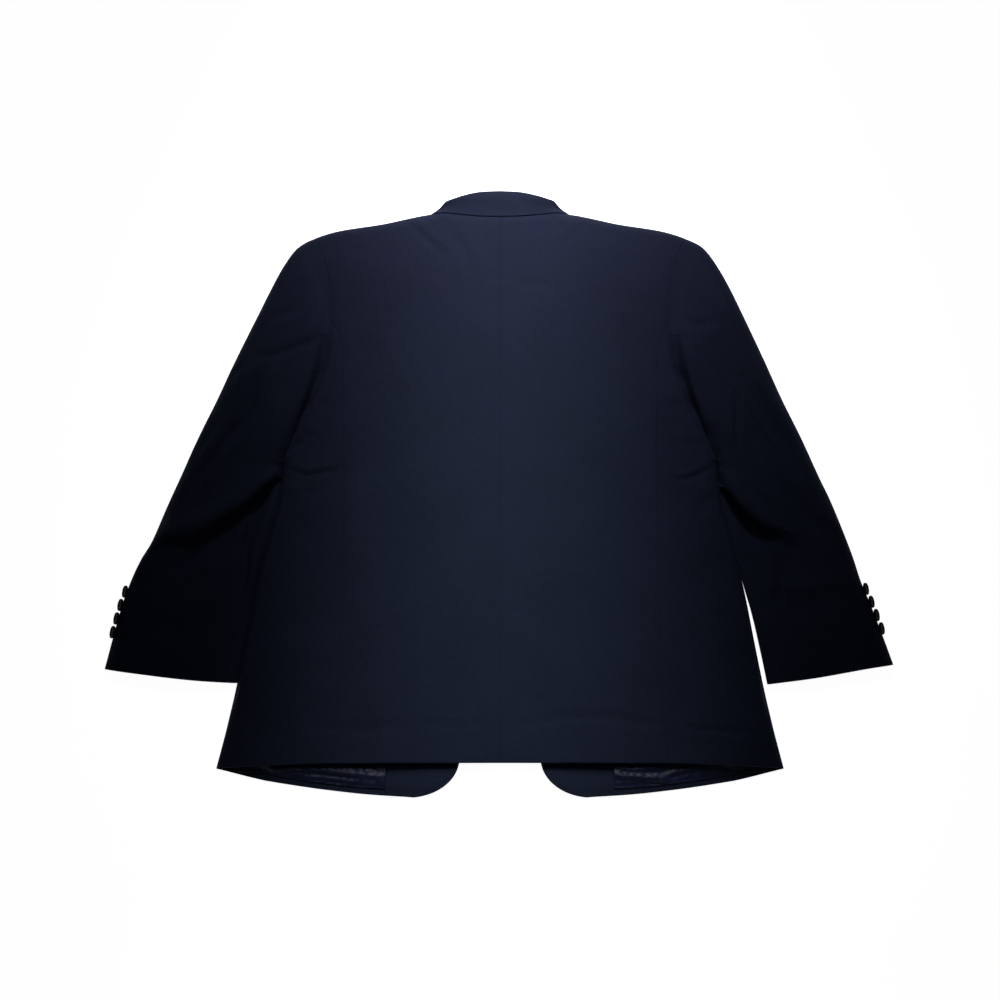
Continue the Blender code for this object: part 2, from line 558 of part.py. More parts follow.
def front_panel(side, name, finish, on_buttons):
    """A front, from its edge and roll line to the seam under the arm and the armhole."""
    seam_low = read(FRONT_HEM, "x", "y", 256.0)
    share_up = (BACK_SEAM_LEVELS - BACK_SEAM_LEVELS[0]) / (BACK_SEAM_TOP_Y - BACK_SEAM_LEVELS[0])
    seam_levels = seam_low + share_up * (FRONT_SEAM_TOP_Y - seam_low)
    levels = np.concatenate([seam_levels, FRONT_ARMHOLE_LEVELS])
    climb = (levels - levels[0]) / (levels[-1] - levels[0])
    corner_low = CORNER_CENTRE[1] - CORNER_SIZE[1] + 0.3
    count = len(front_columns(0.0))
    hem_x = front_columns(corner_low)
    top_x = front_columns(NECK_POINT[1] - 6.0)
    face = np.empty((len(levels), count, 3))
    for j in range(count):
        low = corner_low if j == 0 else float(read(FRONT_HEM, "x", "y", hem_x[j]))
        top = min(float(read(SHOULDER, "x", "y", top_x[j])), NECK_POINT[1] - 0.4)
        crowd = climb ** (1 + 0.7 * (1 - j / (count - 1)))   # more rows at the rounded corner
        y = levels if j == count - 1 else low + crowd * (top - low)
        x = np.array([front_columns(level)[j] for level in y])
        face[:, j] = np.stack([x, y, front_z(x, y, on_buttons)], axis=-1)
    face[-1, :, 2] -= SEAM_GAP / 2
    turned = inner_face(face[:, ::-1], CLOTH, slice(None))
    inner = turned[:, ::-1]
    wall(name, mirrored(face, side), finish, mirrored(inner, side))
    return face, inner


def facing_panel(side, name, finish, front_inner):
    """The facing: a strip of body cloth inside the front's edge, made from the front's points.
    It shows below the back's hem."""
    rows = int(np.sum(front_inner[:, 0, 1] < FACING_TOP_Y))
    under = front_inner[:rows, :7] + (0.0, 0.0, FACING_AIR)
    under[:, 0, 0] += FACING_SET_BACK
    under[:, :, 1] += FACING_SET_BACK * (1 - ease(np.arange(rows) / 5.0))[:, None]
    face = under + (0.0, 0.0, FACING_CLOTH)
    return wall(name, mirrored(face, side), finish, mirrored(under, side))


def lining_strip(side, name, finish):
    """The lower end of the lining, which shows in the open hem. It lies in loose ripples."""
    across = np.linspace(0.0, 1.0, 15)
    up = np.array([0.0, 0.06, 0.14, 0.23, 0.33, 0.45, 0.6, 0.8, 1.0])
    face = np.empty((len(up), len(across), 3))
    for j, share in enumerate(across):
        x0 = read(FACING_EDGE, "y", "x", -335.0) + 0.8
        x = x0 + share * (LINING_OUTER_X - x0)
        low = read(FRONT_HEM, "x", "y", x) + LINING_HEM_RISE * (1 - 0.72 * ease((share - 0.8) / 0.2))
        y = low + up * (LINING_TOP_Y - low)
        puff = LINING_PUFF * np.exp(-(((up - 0.17) / 0.11) ** 2))
        puff = puff * (0.72 + 0.28 * math.sin(9.0 * share + 0.6))
        ripple = LINING_RIPPLE * np.sin(26.0 * share + 4.0 * up) * ease(up / 0.2)
        ripple *= 1 - ease((share - 0.86) / 0.1)
        tuck = 1 - 0.75 * ease((share - 0.82) / 0.16)
        z = front_z(x, y, False) + CLOTH + LINING_AIR + LINING_CLOTH
        z = z + (puff + np.abs(ripple)) * tuck
        face[:, j] = np.stack([np.full_like(y, x), y, z], axis=-1)
    under = face - (0.0, 0.0, LINING_CLOTH)
    return wall(name, mirrored(face, side), finish, mirrored(under, side))


# ---------------------------------------------------------------- collar and lapels

def turned_row(seam, fold, mid, edge, turn, spread):
    """One row across a folded leaf: from its seam, round the fold, to its free edge."""
    seam, fold, mid, edge = (np.array(p, float) for p in (seam, fold, mid, edge))
    way = np.array([0.0, math.sin(math.radians(turn)), math.cos(math.radians(turn))])

    def level(v):
        v = v - way * (v @ way)
        return v / max(np.linalg.norm(v), 1e-6)

    lead = min(FOLD_LEAD, 0.6 * np.linalg.norm(seam - fold))
    before = fold + lead * level(seam - fold) - LEAF_SPACING * way
    after = fold + FOLD_LEAD * level(mid - fold) + LEAF_SPACING * way
    row = [seam + share * (before - seam) for share in spread]
    centre = (before + after) / 2
    reach = fold - centre
    for angle in (45.0, 90.0, 135.0):
        a = math.radians(angle)
        row.append(centre + math.sin(a) * reach + math.cos(a) * (before - centre))
    row.append(after)
    row += [smooth_between(after, mid, edge, share) for share in (0.33, 0.66, 1.0)]
    return row


def smooth_between(a, b, c, share):
    """A point on the even curve through a, b and c."""
    lengths = [np.linalg.norm(b - a), np.linalg.norm(c - b)]
    bend = lengths[0] / sum(lengths)
    if share < bend:
        return a + (b - a) * share / bend
    return b + (c - b) * (share - bend) / (1 - bend)


def collar(finish):
    """The folded collar: a stand from the neck seam, and the fall that lies over the back."""
    def numbers(row):
        return np.array([*row["seam"], *row["fold"], *row["mid"], *row["edge"], row["turn"]])

    stations = [numbers(row) for row in COLLAR]
    half = [0.0] + [i + extra for i in range(len(stations) - 1) for extra in COLLAR_ROWS_BETWEEN[i]]
    places = [-k for k in reversed(half[1:])] + half
    table = np.array(stations)
    grid = []
    for place in places:
        n = smooth_rows(table, abs(place))
        row = turned_row(n[0:3], n[3:6], n[6:9], n[9:12], n[12], (0.0, 0.5, 1.0))
        grid.append([p * (1.0 if place >= 0 else -1.0, 1.0, 1.0) for p in row])
    grid[len(half) - 1] = [p * (0.0, 1.0, 1.0) for p in grid[len(half) - 1]]
    face = np.array(grid)
    turn = np.array([smooth_rows(table, abs(place))[12] for place in places])
    thickness = COLLAR_CLOTH - COLLAR_EASED * np.sin(np.radians(np.clip(turn, 0.0, 180.0))) ** 0.35
    return wall("collar", face, finish, inner_face(face, thickness[:, None, None]))


def smooth_rows(table, place):
    """Row of a table at a fractional place, by the even curve through its rows."""
    i = min(int(place), len(table) - 2)
    t = place - i
    before = table[max(i - 1, 0)]
    after = table[min(i + 2, len(table) - 1)]
    a, b = table[i], table[i + 1]
    left, right = (b - before) / 2, (after - a) / 2
    return ((1 + 2 * t) * (1 - t) ** 2 * a + t * (1 - t) ** 2 * left
            + t * t * (3 - 2 * t) * b - t * t * (1 - t) * right)


def lapel(side, name, finish):
    """The lapel: the front and its facing, turned back at the roll line."""
    table = np.array([[row["roll_y"], *row["mid"], *row["edge"]] for row in LAPEL])
    grid = []
    for place in np.linspace(0.0, len(LAPEL) - 1, 13):
        roll_y, mid_x, mid_y, edge_x, edge_y = smooth_rows(table, place)
        roll_x = float(read(ROLL_LINE, "y", "x", roll_y))
        row = turned_row(
            (roll_x + STAND_LEAD, roll_y, 2 * LEAF_SPACING), (roll_x, roll_y, LEAF_SPACING),
            (mid_x, mid_y, 0.0), (edge_x, edge_y, 0.0), 180.0, (0.0,),
        )
        grid.append(row)
    face = np.array(grid)
    inner = inner_face(face[::-1], COLLAR_CLOTH)[::-1]
    return wall(name, mirrored(face, side), finish, mirrored(inner, side))


# ---------------------------------------------------------------- sleeves

def sleeve_rows(sleeve):
    """Shares of the sleeve's length at which its rows stand, with the fold's rows among them."""
    fold = [sleeve["fold_at"] + row["after"] for row in SLEEVE_FOLD]
    return np.array([*SLEEVE_ROWS_BEFORE_FOLD, *fold, *SLEEVE_ROWS_AFTER_FOLD])


def sleeve_plan(sleeve, share, across):
    """Place on the surface of a point of the sleeve, between its four edges."""
    outer = along(sleeve["outer"], share)
    inner_y = smooth(share, [p[0] for p in INNER_Y_BY_SHARE], [p[1] for p in INNER_Y_BY_SHARE])
    inner_points = np.array(sleeve["inner"])
    inner_y = np.clip(inner_y, inner_points[-1, 1], inner_points[0, 1])
    inner_x = smooth(inner_y, inner_points[:, 1], inner_points[:, 0])
    inner = np.stack([inner_x, inner_y], axis=-1)
    start_y = SHOULDER_POINT_Y - across * (SHOULDER_POINT_Y - UNDERARM_Y)
    start = np.stack([armhole_x(start_y) + SEAM_GAP, start_y], axis=-1)
    end = along(sleeve["cuff"], across)
    s, a = np.asarray(share)[..., None], np.asarray(across)[..., None]
    corners = ((1 - s) * (1 - a) * start_corner(0.0) + (1 - s) * a * start_corner(1.0)
               + s * (1 - a) * np.array(sleeve["cuff"][0]) + s * a * np.array(sleeve["cuff"][-1]))
    return (1 - s) * start + s * end + (1 - a) * outer + a * inner - corners


def start_corner(across):
    y = SHOULDER_POINT_Y - across * (SHOULDER_POINT_Y - UNDERARM_Y)
    return np.array([float(armhole_x(y)) + SEAM_GAP, y])


def sleeve_height(share, across):
    shares = [row["share"] for row in SLEEVE_HEIGHT]
    outer, middle, inner = (
        smooth(share, shares, [row["z"][k] for row in SLEEVE_HEIGHT]) for k in range(3)
    )
    first = outer + (middle - outer) * ease(across / 0.5)
    second = middle + (inner - middle) * ease((across - 0.5) / 0.5)
    return np.where(across < 0.5, first, second)


def moved_across(across, seam_at_start, seam_now):
    """Columns keep their order while the seam between them wanders across the sleeve."""
    before = across * seam_now / seam_at_start
    after = 1 - (1 - across) * (1 - seam_now) / (1 - seam_at_start)
    return np.where(across < seam_at_start, before, after)


def sleeve_point(sleeve, share, across, upper, edge_z, inset=0.0):
    """A point of the sleeve's outer face, or of a face nested in it by inset. edge_z is the
    height of the body's edge at the same column."""
    bow_reach = min(max((share - BOW_START) / (1 - BOW_START), 0.0), 1.0)
    window = math.sin(math.pi * bow_reach) ** 2
    bent = share + sleeve["fold_bow"] * 4 * across * (1 - across) * window
    ends = sleeve_plan(sleeve, np.array([bent, bent]), np.array([0.0, 1.0]))
    width = float(np.linalg.norm(ends[1] - ends[0]))
    narrow = inset / width
    plan = sleeve_plan(sleeve, bent, narrow + across * (1 - 2 * narrow))
    height = float(sleeve_height(bent, across)) - inset
    ridge_outer = SLEEVE_RIDGE_SHARE * float(sleeve_height(bent, 0.0))
    ridge = ridge_outer + (SIDE_FOLD_Z - ridge_outer) * across
    roll = min(SLEEVE_ROLL_TOP if upper else SLEEVE_ROLL_UNDER, 0.3 * width)
    rounded = float(arch(across * width / roll) * arch((1 - across) * width / roll))
    if upper:
        z = ridge + (height - ridge) * rounded
        size = float(smooth(across, *zip(*sleeve["fold_size"])))
        after = share - sleeve["fold_at"]
        if size > 0 and SLEEVE_FOLD[0]["after"] - 0.001 <= after <= SLEEVE_FOLD[-1]["after"] + 0.001:
            ahead = sleeve_plan(sleeve, min(bent + 0.02, 1.0), across)
            ahead = ahead - sleeve_plan(sleeve, bent - 0.02, across)
            ahead = ahead / np.linalg.norm(ahead)
            table = [[row[key] for row in SLEEVE_FOLD] for key in ("after", "advance", "rise")]
            plan = plan + size ** 3 * float(np.interp(after, table[0], table[1])) * ahead
            z += size * float(np.interp(after, table[0], table[2]))
    else:
        z = ridge + (inset - ridge) * rounded
    settled = float(ease(share / PUFF_SHARE))
    z = edge_z + (z - edge_z) * settled
    return np.array([plan[0], plan[1], z])


def armhole_ring(back, side, front):
    """The body's open edge round one armhole, from the shoulder down the back and up the front.
    Each entry says whether it is on the upper face, and gives its outer and inner point."""
    ring = []
    for place in range(len(BACK_ARMHOLE_LEVELS)):
        ring.append((True, *(grid[-1 - place, -1] for grid in back)))
    for j in range(side[0].shape[1]):
        ring.append((j < len(UPPER_SIDE_SHARES), *(grid[-1, j] for grid in side)))
    for i in range(len(BACK_SEAM_LEVELS), front[0].shape[0]):
        ring.append((False, *(grid[i, -1] for grid in front)))
    return ring[1:]


def sleeve(sizes, name, finish, ring):
    """One sleeve: the under sleeve, which shows most from the back, and the top sleeve."""
    span = SHOULDER_POINT_Y - UNDERARM_Y
    starts = np.array([(SHOULDER_POINT_Y - outer[1]) / span for _, outer, _ in ring])
    uppers = [k for k, entry in enumerate(ring) if entry[0]]
    unders = [k for k, entry in enumerate(ring) if not entry[0]]
    elbow = min(uppers, key=lambda k: abs(starts[k] - (SHOULDER_POINT_Y - ELBOW_SEAM_Y) / span))
    inseam = min(unders, key=lambda k: abs(starts[k] - (SHOULDER_POINT_Y - INSEAM_Y) / span))
    rows = sleeve_rows(sizes)
    face = np.empty((len(rows), len(ring), 3))
    nested = np.empty_like(face)
    at_edge = np.empty(face.shape[:2] + (1,))
    for i, share in enumerate(rows):
        for j, (upper, edge, inside) in enumerate(ring):
            seam, at_cuff = (elbow, ELBOW_SEAM_AT_CUFF) if upper else (inseam, INSEAM_AT_CUFF)
            seam_now = starts[seam] + (at_cuff - starts[seam]) * share
            across = float(moved_across(starts[j], starts[seam], seam_now))
            face[i, j] = sleeve_point(sizes, float(share), across, upper, edge[2])
            nested[i, j] = sleeve_point(sizes, float(share), across, upper, inside[2], SLEEVE_CLOTH)
            at_edge[i, j] = max(1 - ease((across - 0.05) / 0.05), ease((across - 0.86) / 0.06))
    closed = np.concatenate([face[:, -1:], face, face[:, :1]], axis=1)
    inner = face - SLEEVE_CLOTH * normals(closed)[:, 1:-1]
    inner = inner + at_edge * (nested - inner)
    for j, (_, edge, inside) in enumerate(ring):
        turned = at_edge[0, j] if starts[j] > 0.5 else 0.0
        square, level = inside - edge, nested[0, j] - face[0, j]
        inner[0, j] = face[0, j] + (1 - turned) * square + turned * level
    side = sizes["side"]
    under_columns = list(range(elbow, inseam + 1))
    top_columns = list(range(inseam, len(ring))) + list(range(elbow + 1))
    for part, columns in (("under", under_columns), ("top", top_columns)):
        shown, behind = (mirrored(parted(grid[:, columns]), side) for grid in (face, inner))
        wall(f"sleeve_{part}_{name}", shown, finish, behind)


def parted(grid):
    """The grid with its first and last columns drawn in by half a seam's gap."""
    grid = grid.copy()
    for edge, inside in ((0, 1), (-1, -2)):
        way = grid[:, inside] - grid[:, edge]
        length = np.maximum(np.linalg.norm(way, axis=1, keepdims=True), 1e-6)
        grid[:, edge] += way / length * np.minimum(SEAM_GAP / 2, length * 0.4)
    return grid


# ---------------------------------------------------------------- buttons

def button(name, size, place, up, finish):
    """A turned button with a raised rim and a dished middle."""
    radius = size["diameter"] / 2
    sides = size["sides"]
    half = size["thickness"] / 2
    profile = (
        (0.0, -half), (radius * 0.9, -half), (radius, half * 0.2), (radius * 0.95, half),
        (radius - size["rim"], half), (radius - size["rim"] * 1.7, half * 0.4), (0.0, half * 0.25),
    )
    shape = bmesh.new()
    rings = []
    for r, z in profile:
        if r == 0.0:
            rings.append([shape.verts.new((0.0, 0.0, z))])
            continue
        turn = [2 * math.pi * k / sides for k in range(sides)]
        rings.append([shape.verts.new((r * math.cos(a), r * math.sin(a), z)) for a in turn])
    for low, high in zip(rings, rings[1:]):
        for k in range(sides):
            after = (k + 1) % sides
            corners = [
                low[k % len(low)], low[after % len(low)],
                high[after % len(high)], high[k % len(high)],
            ]
            shape.faces.new(list(dict.fromkeys(corners)))
    bmesh.ops.recalc_face_normals(shape, faces=shape.faces)
    stand = Vector(up).to_track_quat("Z", "Y").to_matrix().to_4x4()
    middle = Vector(place) - Vector((0.0, FOOTPRINT_MIDDLE_Y, 0.0))
    scale = Matrix.Diagonal((MM, MM, MM, 1.0))
    placed = scale @ Matrix.Translation(middle) @ stand
    bmesh.ops.transform(shape, matrix=placed, verts=shape.verts)
    mesh = bpy.data.meshes.new(name)
    shape.to_mesh(mesh)
    shape.free()
    mesh.shade_smooth()
    mesh.set_sharp_from_angle(angle=math.radians(40))
    mesh.materials.append(finish)
    obj = bpy.data.objects.new(name, mesh)
    bpy.context.scene.collection.objects.link(obj)
    return obj


def cuff_buttons(sizes, name, finish):
    """Four buttons up the outer edge of the cuff, on the cloth's rounded edge."""
    length = float(np.linalg.norm(np.diff(np.array(sizes["outer"]), axis=0), axis=1).sum())
    across = CUFF_BUTTON_ACROSS
    for k, rise in enumerate(CUFF_BUTTON_RISES):
        share = 1 - rise / length
        here = sleeve_point(sizes, share, across, True, 0.0)
        ahead = sleeve_point(sizes, share + 0.01, across, True, 0.0)
        beside = sleeve_point(sizes, share, 2 * across, True, 0.0)
        up = np.cross(beside - here, ahead - here)
        up = up / np.linalg.norm(up)
        up = up if up[2] > 0 else -up
        place = here + up * (CUFF_BUTTON["thickness"] / 2 + 0.5)
        side = sizes["side"]
        button(
            f"cuff_button_{name}_{k + 1}", CUFF_BUTTON,
            mirrored(place, side), mirrored(up, side), finish,
        )


# ---------------------------------------------------------------- the blazer

def main():
    for obj in list(bpy.data.objects):
        bpy.data.objects.remove(obj)
    wool = material("navy_wool", NAVY, 0.9)
    satin = material("lining_twill", LINING_BLACK, 0.45)
    resin = material("button_resin", BUTTON_BLACK, 0.35)

    for side, name, sizes in ((-1.0, "left", LEFT_SLEEVE), (1.0, "right", RIGHT_SLEEVE)):
        on_buttons = side > 0          # a man's jacket has its buttons on the right front
        back = back_panel(side, f"back_{name}", wool)
        side_body = side_panel(side, f"side_{name}", wool)
        front = front_panel(side, f"front_{name}", wool, on_buttons)
        facing_panel(side, f"facing_{name}", wool, front[1])
        lining_strip(side, f"lining_{name}", satin)
        lapel(side, f"lapel_{name}", wool)
        sleeve(sizes, name, wool, armhole_ring(back, side_body, front))
        cuff_buttons(sizes, name, resin)
    collar(wool)
    for k, (x, y) in enumerate(FRONT_BUTTON_PLACES):
        place = (x, y, FRONT_BUTTON["thickness"] / 2)
        button(f"front_button_{k + 1}", FRONT_BUTTON, place, (0.0, 0.0, -1.0), resin)


main()
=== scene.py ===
import math

import bmesh
import bpy
import numpy as np
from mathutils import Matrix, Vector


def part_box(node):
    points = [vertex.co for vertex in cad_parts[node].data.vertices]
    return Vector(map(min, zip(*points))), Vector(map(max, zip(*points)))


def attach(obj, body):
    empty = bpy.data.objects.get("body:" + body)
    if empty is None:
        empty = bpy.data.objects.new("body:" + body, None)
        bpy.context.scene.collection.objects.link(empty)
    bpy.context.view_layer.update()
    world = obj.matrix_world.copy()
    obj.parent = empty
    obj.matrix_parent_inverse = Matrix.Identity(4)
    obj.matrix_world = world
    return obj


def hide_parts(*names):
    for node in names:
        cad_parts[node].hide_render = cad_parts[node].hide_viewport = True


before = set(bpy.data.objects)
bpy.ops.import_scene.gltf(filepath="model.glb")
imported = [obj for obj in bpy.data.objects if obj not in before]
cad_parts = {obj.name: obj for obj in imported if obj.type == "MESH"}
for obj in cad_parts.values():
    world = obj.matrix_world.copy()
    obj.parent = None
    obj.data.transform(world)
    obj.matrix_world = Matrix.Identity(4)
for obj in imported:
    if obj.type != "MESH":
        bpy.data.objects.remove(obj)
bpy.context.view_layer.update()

# A blazer laid face down, its back up. Sizes are millimetres in the garment's own frame:
# x across, y from hem to collar, z up from the surface. toMetres puts them in the scene.
middleY = 60.3                 # the scene's origin lies this far up the garment
seamGap = -0.08                # sewn pieces lap by a hair, so no light comes through


def toMetres(points):
    return (np.asarray(points, float) - (0, middleY, 0)) * 0.001


# curves and small tools

def smooth(x, xs, ys):         # smooth curve through (xs, ys) with no overshoot
    xs, ys = np.asarray(xs, float), np.asarray(ys, float)
    if xs[0] > xs[-1]:
        xs, ys = xs[::-1], ys[::-1]
    steps = np.diff(xs)
    slopes = np.diff(ys) / steps
    bends = np.empty_like(ys)
    bends[0], bends[-1] = slopes[0], slopes[-1]
    before, after = slopes[:-1], slopes[1:]
    sameWay = before * after > 0
    total = np.where(sameWay, before + after, 1)
    bends[1:-1] = np.where(sameWay, 2 * before * after / total, 0)
    x = np.clip(np.asarray(x, float), xs[0], xs[-1])
    i = np.clip(np.searchsorted(xs, x) - 1, 0, len(xs) - 2)
    h = steps[i]
    t = (x - xs[i]) / h
    rise = (1 + 2 * t) * (1 - t) ** 2 * ys[i] + t * t * (3 - 2 * t) * ys[i + 1]
    lean = t * (1 - t) ** 2 * bends[i] - t * t * (1 - t) * bends[i + 1]
    return rise + h * lean


def tableAt(table, at, column=1):
    rows = np.array(table)
    return smooth(at, rows[:, 0], rows[:, column])


def ease(x):
    x = np.clip(x, 0, 1)
    return x * x * (3 - 2 * x)


def arch(share):               # quarter circle, 0 at the edge and 1 where the roll ends
    return np.sqrt(1 - (1 - np.clip(share, 0, 1)) ** 2)


def alongCurve(points, shares):
    points = np.asarray(points, float)
    steps = np.linalg.norm(np.diff(points, axis=0), axis=1)
    reach = np.concatenate([[0], np.cumsum(steps)])
    at = np.asarray(shares, float) * reach[-1]
    return np.stack([smooth(at, reach, points[:, k]) for k in range(points.shape[1])], axis=-1)


def rowAt(table, place):       # row of a table at a fractional place, on an even curve
    i = min(int(place), len(table) - 2)
    t = place - i
    before, after = table[max(i - 1, 0)], table[min(i + 2, len(table) - 1)]
    a, b = table[i], table[i + 1]
    left, right = (b - before) / 2, (after - a) / 2
    return ((1 + 2 * t) * (1 - t) ** 2 * a + t * (1 - t) ** 2 * left
            + t * t * (3 - 2 * t) * b - t * t * (1 - t) * right)


edgeSteps = np.array([0, 0.15, 0.35, 0.65, 1.1, 1.8, 3, 5])     # mm in from an edge


def crowded(length, count):    # shares from 0 to 1 with closer lines at both edges
    near = edgeSteps / length
    middle = np.linspace(near[-1], 1 - near[-1], count)[1:-1]
    return np.concatenate([near, middle, 1 - near[::-1]])


def panelShares(panel):        # across the panel, and up it as a column
    return (crowded(panel["width"], panel["columns"]),
            crowded(panel["length"], panel["rows"])[:, None])


def normalsOf(grid):
    rows = np.gradient(grid, axis=0)
    columns = np.gradient(grid, axis=1)
    n = np.cross(columns, rows)
    return n / np.maximum(np.linalg.norm(n, axis=2, keepdims=True), 1e-9)


def waves(x, y, seed, longest, height):    # uneven low undulation, the same on every run
    dice = np.random.default_rng(seed)
    total = np.zeros(np.broadcast(x, y).shape)
    for k in range(7):
        length = longest * (0.28 + 0.72 * dice.random())
        way = dice.random() * math.tau
        total += np.sin((x * math.cos(way) + y * math.sin(way)) * math.tau / length
                        + dice.random() * math.tau) * (length / longest)
    return total * height / 4


def crease(width, depth, *path, ridge=0.5, lean=0, taper=0.8):
    return alongCurve(path, np.linspace(0, 1, 25)), width, depth, ridge, lean, taper


def creaseHeight(x, y, creases):    # troughs with soft ridges beside them, fading at both ends
    total = np.zeros(np.broadcast(x, y).shape)
    for line, width, depth, ridge, lean, taper in creases:
        nearest = np.full(total.shape, 1e9)
        place = np.zeros_like(total)
        way = np.ones_like(total)
        last = len(line) - 1
        for k in range(last):
            a, d = line[k], line[k + 1] - line[k]
            t = np.clip(((x - a[0]) * d[0] + (y - a[1]) * d[1]) / (d @ d), 0, 1)
            px, py = x - a[0] - t * d[0], y - a[1] - t * d[1]
            away = np.hypot(px, py)
            closer = away < nearest
            nearest = np.where(closer, away, nearest)
            place = np.where(closer, (k + t) / last, place)
            way = np.where(closer, np.sign(d[0] * py - d[1] * px), way)
        off = nearest * way / width
        swell = np.sin(math.pi * np.clip(place, 0, 1)) ** taper
        shape = -np.exp(-off ** 2) + ridge * np.exp(-((np.abs(off) - 1.9) / 0.9) ** 2) * (
            0.65 + 0.35 * np.tanh(off * lean))
        total += depth * swell * shape
    return total


# making a wall of cloth from the face that shows

def sink(distance, radius):    # how far a face drops near a rounded edge
    share = np.clip(distance / max(radius, 1e-6), 0, 1)
    return radius * (1 - np.sqrt(1 - (1 - share) ** 2))


edgeRounding = {"free": (0.46, 0.46), "sewn": (0.30, 0.1)}      # shares of the thickness, top and under


def placed(name, data, place=(0, 0, 0), turn=(0, 0, 0)):
    made = bpy.data.objects.new(name, data)
    made.location, made.rotation_euler = place, turn
    bpy.context.scene.collection.objects.link(made)
    return made


def addPiece(name, mesh, node, slot):
    mesh.materials.append(finishes[slot])
    piece = placed(name, mesh)
    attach(piece, "root")
    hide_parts(node)
    return piece


def sewPiece(node, face, side, thickness, edges, slot="navy_wool",
             cut=None, outward=1, behind=None):
    # edges: first row, last row, first column, last column
    rows, columns = face.shape[:2]
    out = outward * normalsOf(face)
    if behind is None:
        behind = face - thickness * out
    across = np.linalg.norm(np.diff(face, axis=1), axis=2)
    along = np.linalg.norm(np.diff(face, axis=0), axis=2)
    fromLeft = np.concatenate([np.zeros((rows, 1)), np.cumsum(across, axis=1)], axis=1)
    fromLow = np.concatenate([np.zeros((1, columns)), np.cumsum(along, axis=0)], axis=0)
    ways = (fromLow, fromLow[-1:] - fromLow, fromLeft, fromLeft[:, -1:] - fromLeft)
    drop = np.zeros((rows, columns))
    rise = np.zeros((rows, columns))
    for kind, distance in zip(edges.split(), ways):
        top, under = edgeRounding[kind]
        drop = np.maximum(drop, sink(distance, top * thickness))
        rise = np.maximum(rise, sink(distance, under * thickness))
    outer = face - out * drop[..., None]
    inner = behind + out * rise[..., None]
    points = np.concatenate([outer.reshape(-1, 3), inner.reshape(-1, 3)]) * (side, 1, 1)
    points = toMetres(points)
    points[:, 2] = np.maximum(points[:, 2], 0.00005)        # never below the surface it lies on
    number = np.arange(rows * columns).reshape(rows, columns)
    quads = np.stack([number[:-1, :-1], number[:-1, 1:], number[1:, 1:], number[1:, :-1]], -1)
    quads = quads.reshape(-1, 4)
    under = quads[:, (0, 3, 2, 1)] + rows * columns
    rim = np.concatenate([number[0], number[1:, -1], number[-1, -2::-1], number[-2:0:-1, 0]])
    after = np.roll(rim, -1)
    band = np.stack([after, rim, rim + rows * columns, after + rows * columns], -1)
    faces = np.concatenate([quads, under, band])
    if outward * side < 0:
        faces = faces[:, ::-1]
    name = f"{node}_cloth"
    mesh = bpy.data.meshes.new(name)
    mesh.from_pydata(points.tolist(), [], faces.tolist())
    mesh.shade_smooth()
    place = mesh.attributes.new("cut", "FLOAT_VECTOR", "POINT")
    if cut is None:            # the weave follows the cloth's grain, straight up the panel
        cut = face[..., :2] * (side, 1)
    flat = np.concatenate([cut.reshape(-1, 2), cut.reshape(-1, 2)])
    flat = np.concatenate([flat, np.zeros((len(flat), 1))], axis=1)
    place.data.foreach_set("vector", flat.ravel())
    piece = addPiece(name, mesh, node, slot)


# materials

def linear(hexColour):
    parts = [int(hexColour[k:k + 2], 16) / 255 for k in (1, 3, 5)]
    return (*[p / 12.92 if p <= 0.04045 else ((p + 0.055) / 1.055) ** 2.4 for p in parts], 1)


def feed(tree, node, inputs):  # each input is a value or another node's output
    for socket, value in inputs.items():
        if isinstance(value, bpy.types.NodeSocket):
            tree.links.new(value, node.inputs[socket])
        else:
            node.inputs[socket].default_value = value


def addNode(tree, kind, inputs=None, **settings):
    node = tree.nodes.new(kind)
    for key, value in settings.items():
        setattr(node, key, value)
    feed(tree, node, inputs or {})
    return node


def calc(tree, operation, *values):
    return addNode(tree, "ShaderNodeMath", dict(enumerate(values)), operation=operation).outputs[0]


def moved(tree, place, **how):
    return addNode(tree, "ShaderNodeMapping", {"Vector": place, **how}).outputs[0]


def noise(tree, place, size, detail, **more):
    inputs = {"Vector": place, "Scale": 1 / size, "Detail": detail, **more}
    return addNode(tree, "ShaderNodeTexNoise", inputs).outputs["Fac"]


def bands(tree, place, pitch, degrees, **more):
    turned = moved(tree, place, Rotation=(0, 0, math.radians(degrees)))
    inputs = {"Vector": turned, "Scale": math.tau / 20 / pitch, **more}
    return addNode(tree, "ShaderNodeTexWave", inputs, wave_type="BANDS", bands_direction="X").outputs["Fac"]


def ranged(tree, value, low, high, toLow=0, toHigh=1):
    return addNode(tree, "ShaderNodeMapRange", {
        "Value": value, "From Min": low, "From Max": high, "To Min": toLow, "To Max": toHigh}).outputs[0]


def blend(tree, factor, first, second):
    return addNode(tree, "ShaderNodeMix", {
        "Factor": factor, "A": first, "B": linear(second)}, data_type="RGBA").outputs[2]


def bump(tree, height, strength, distance, **under):
    return addNode(tree, "ShaderNodeBump", {
        "Height": height, "Strength": strength, "Distance": distance, **under}).outputs[0]


def newMaterial(name):
    made = bpy.data.materials.new(name)
    made.use_nodes = True
    return made, made.node_tree, made.node_tree.nodes["Principled BSDF"]


worsted = {
    "dark": "#141a28", "light": "#22293b", "speck": "#3d4350",
    "twillPitch": 1.3,         # mm; the real wale is about 0.6, drawn coarser so that it shows
    "slub": 2.6,               # mm across a heavier yarn
    "patch": 70,               # mm; where the nap lies differently
    "lintApart": 17, "lintSize": 0.026, "lintFew": 0.9,
    "roughness": 0.85, "sheen": 0.05, "sheenTint": "#5d6a9c",
}


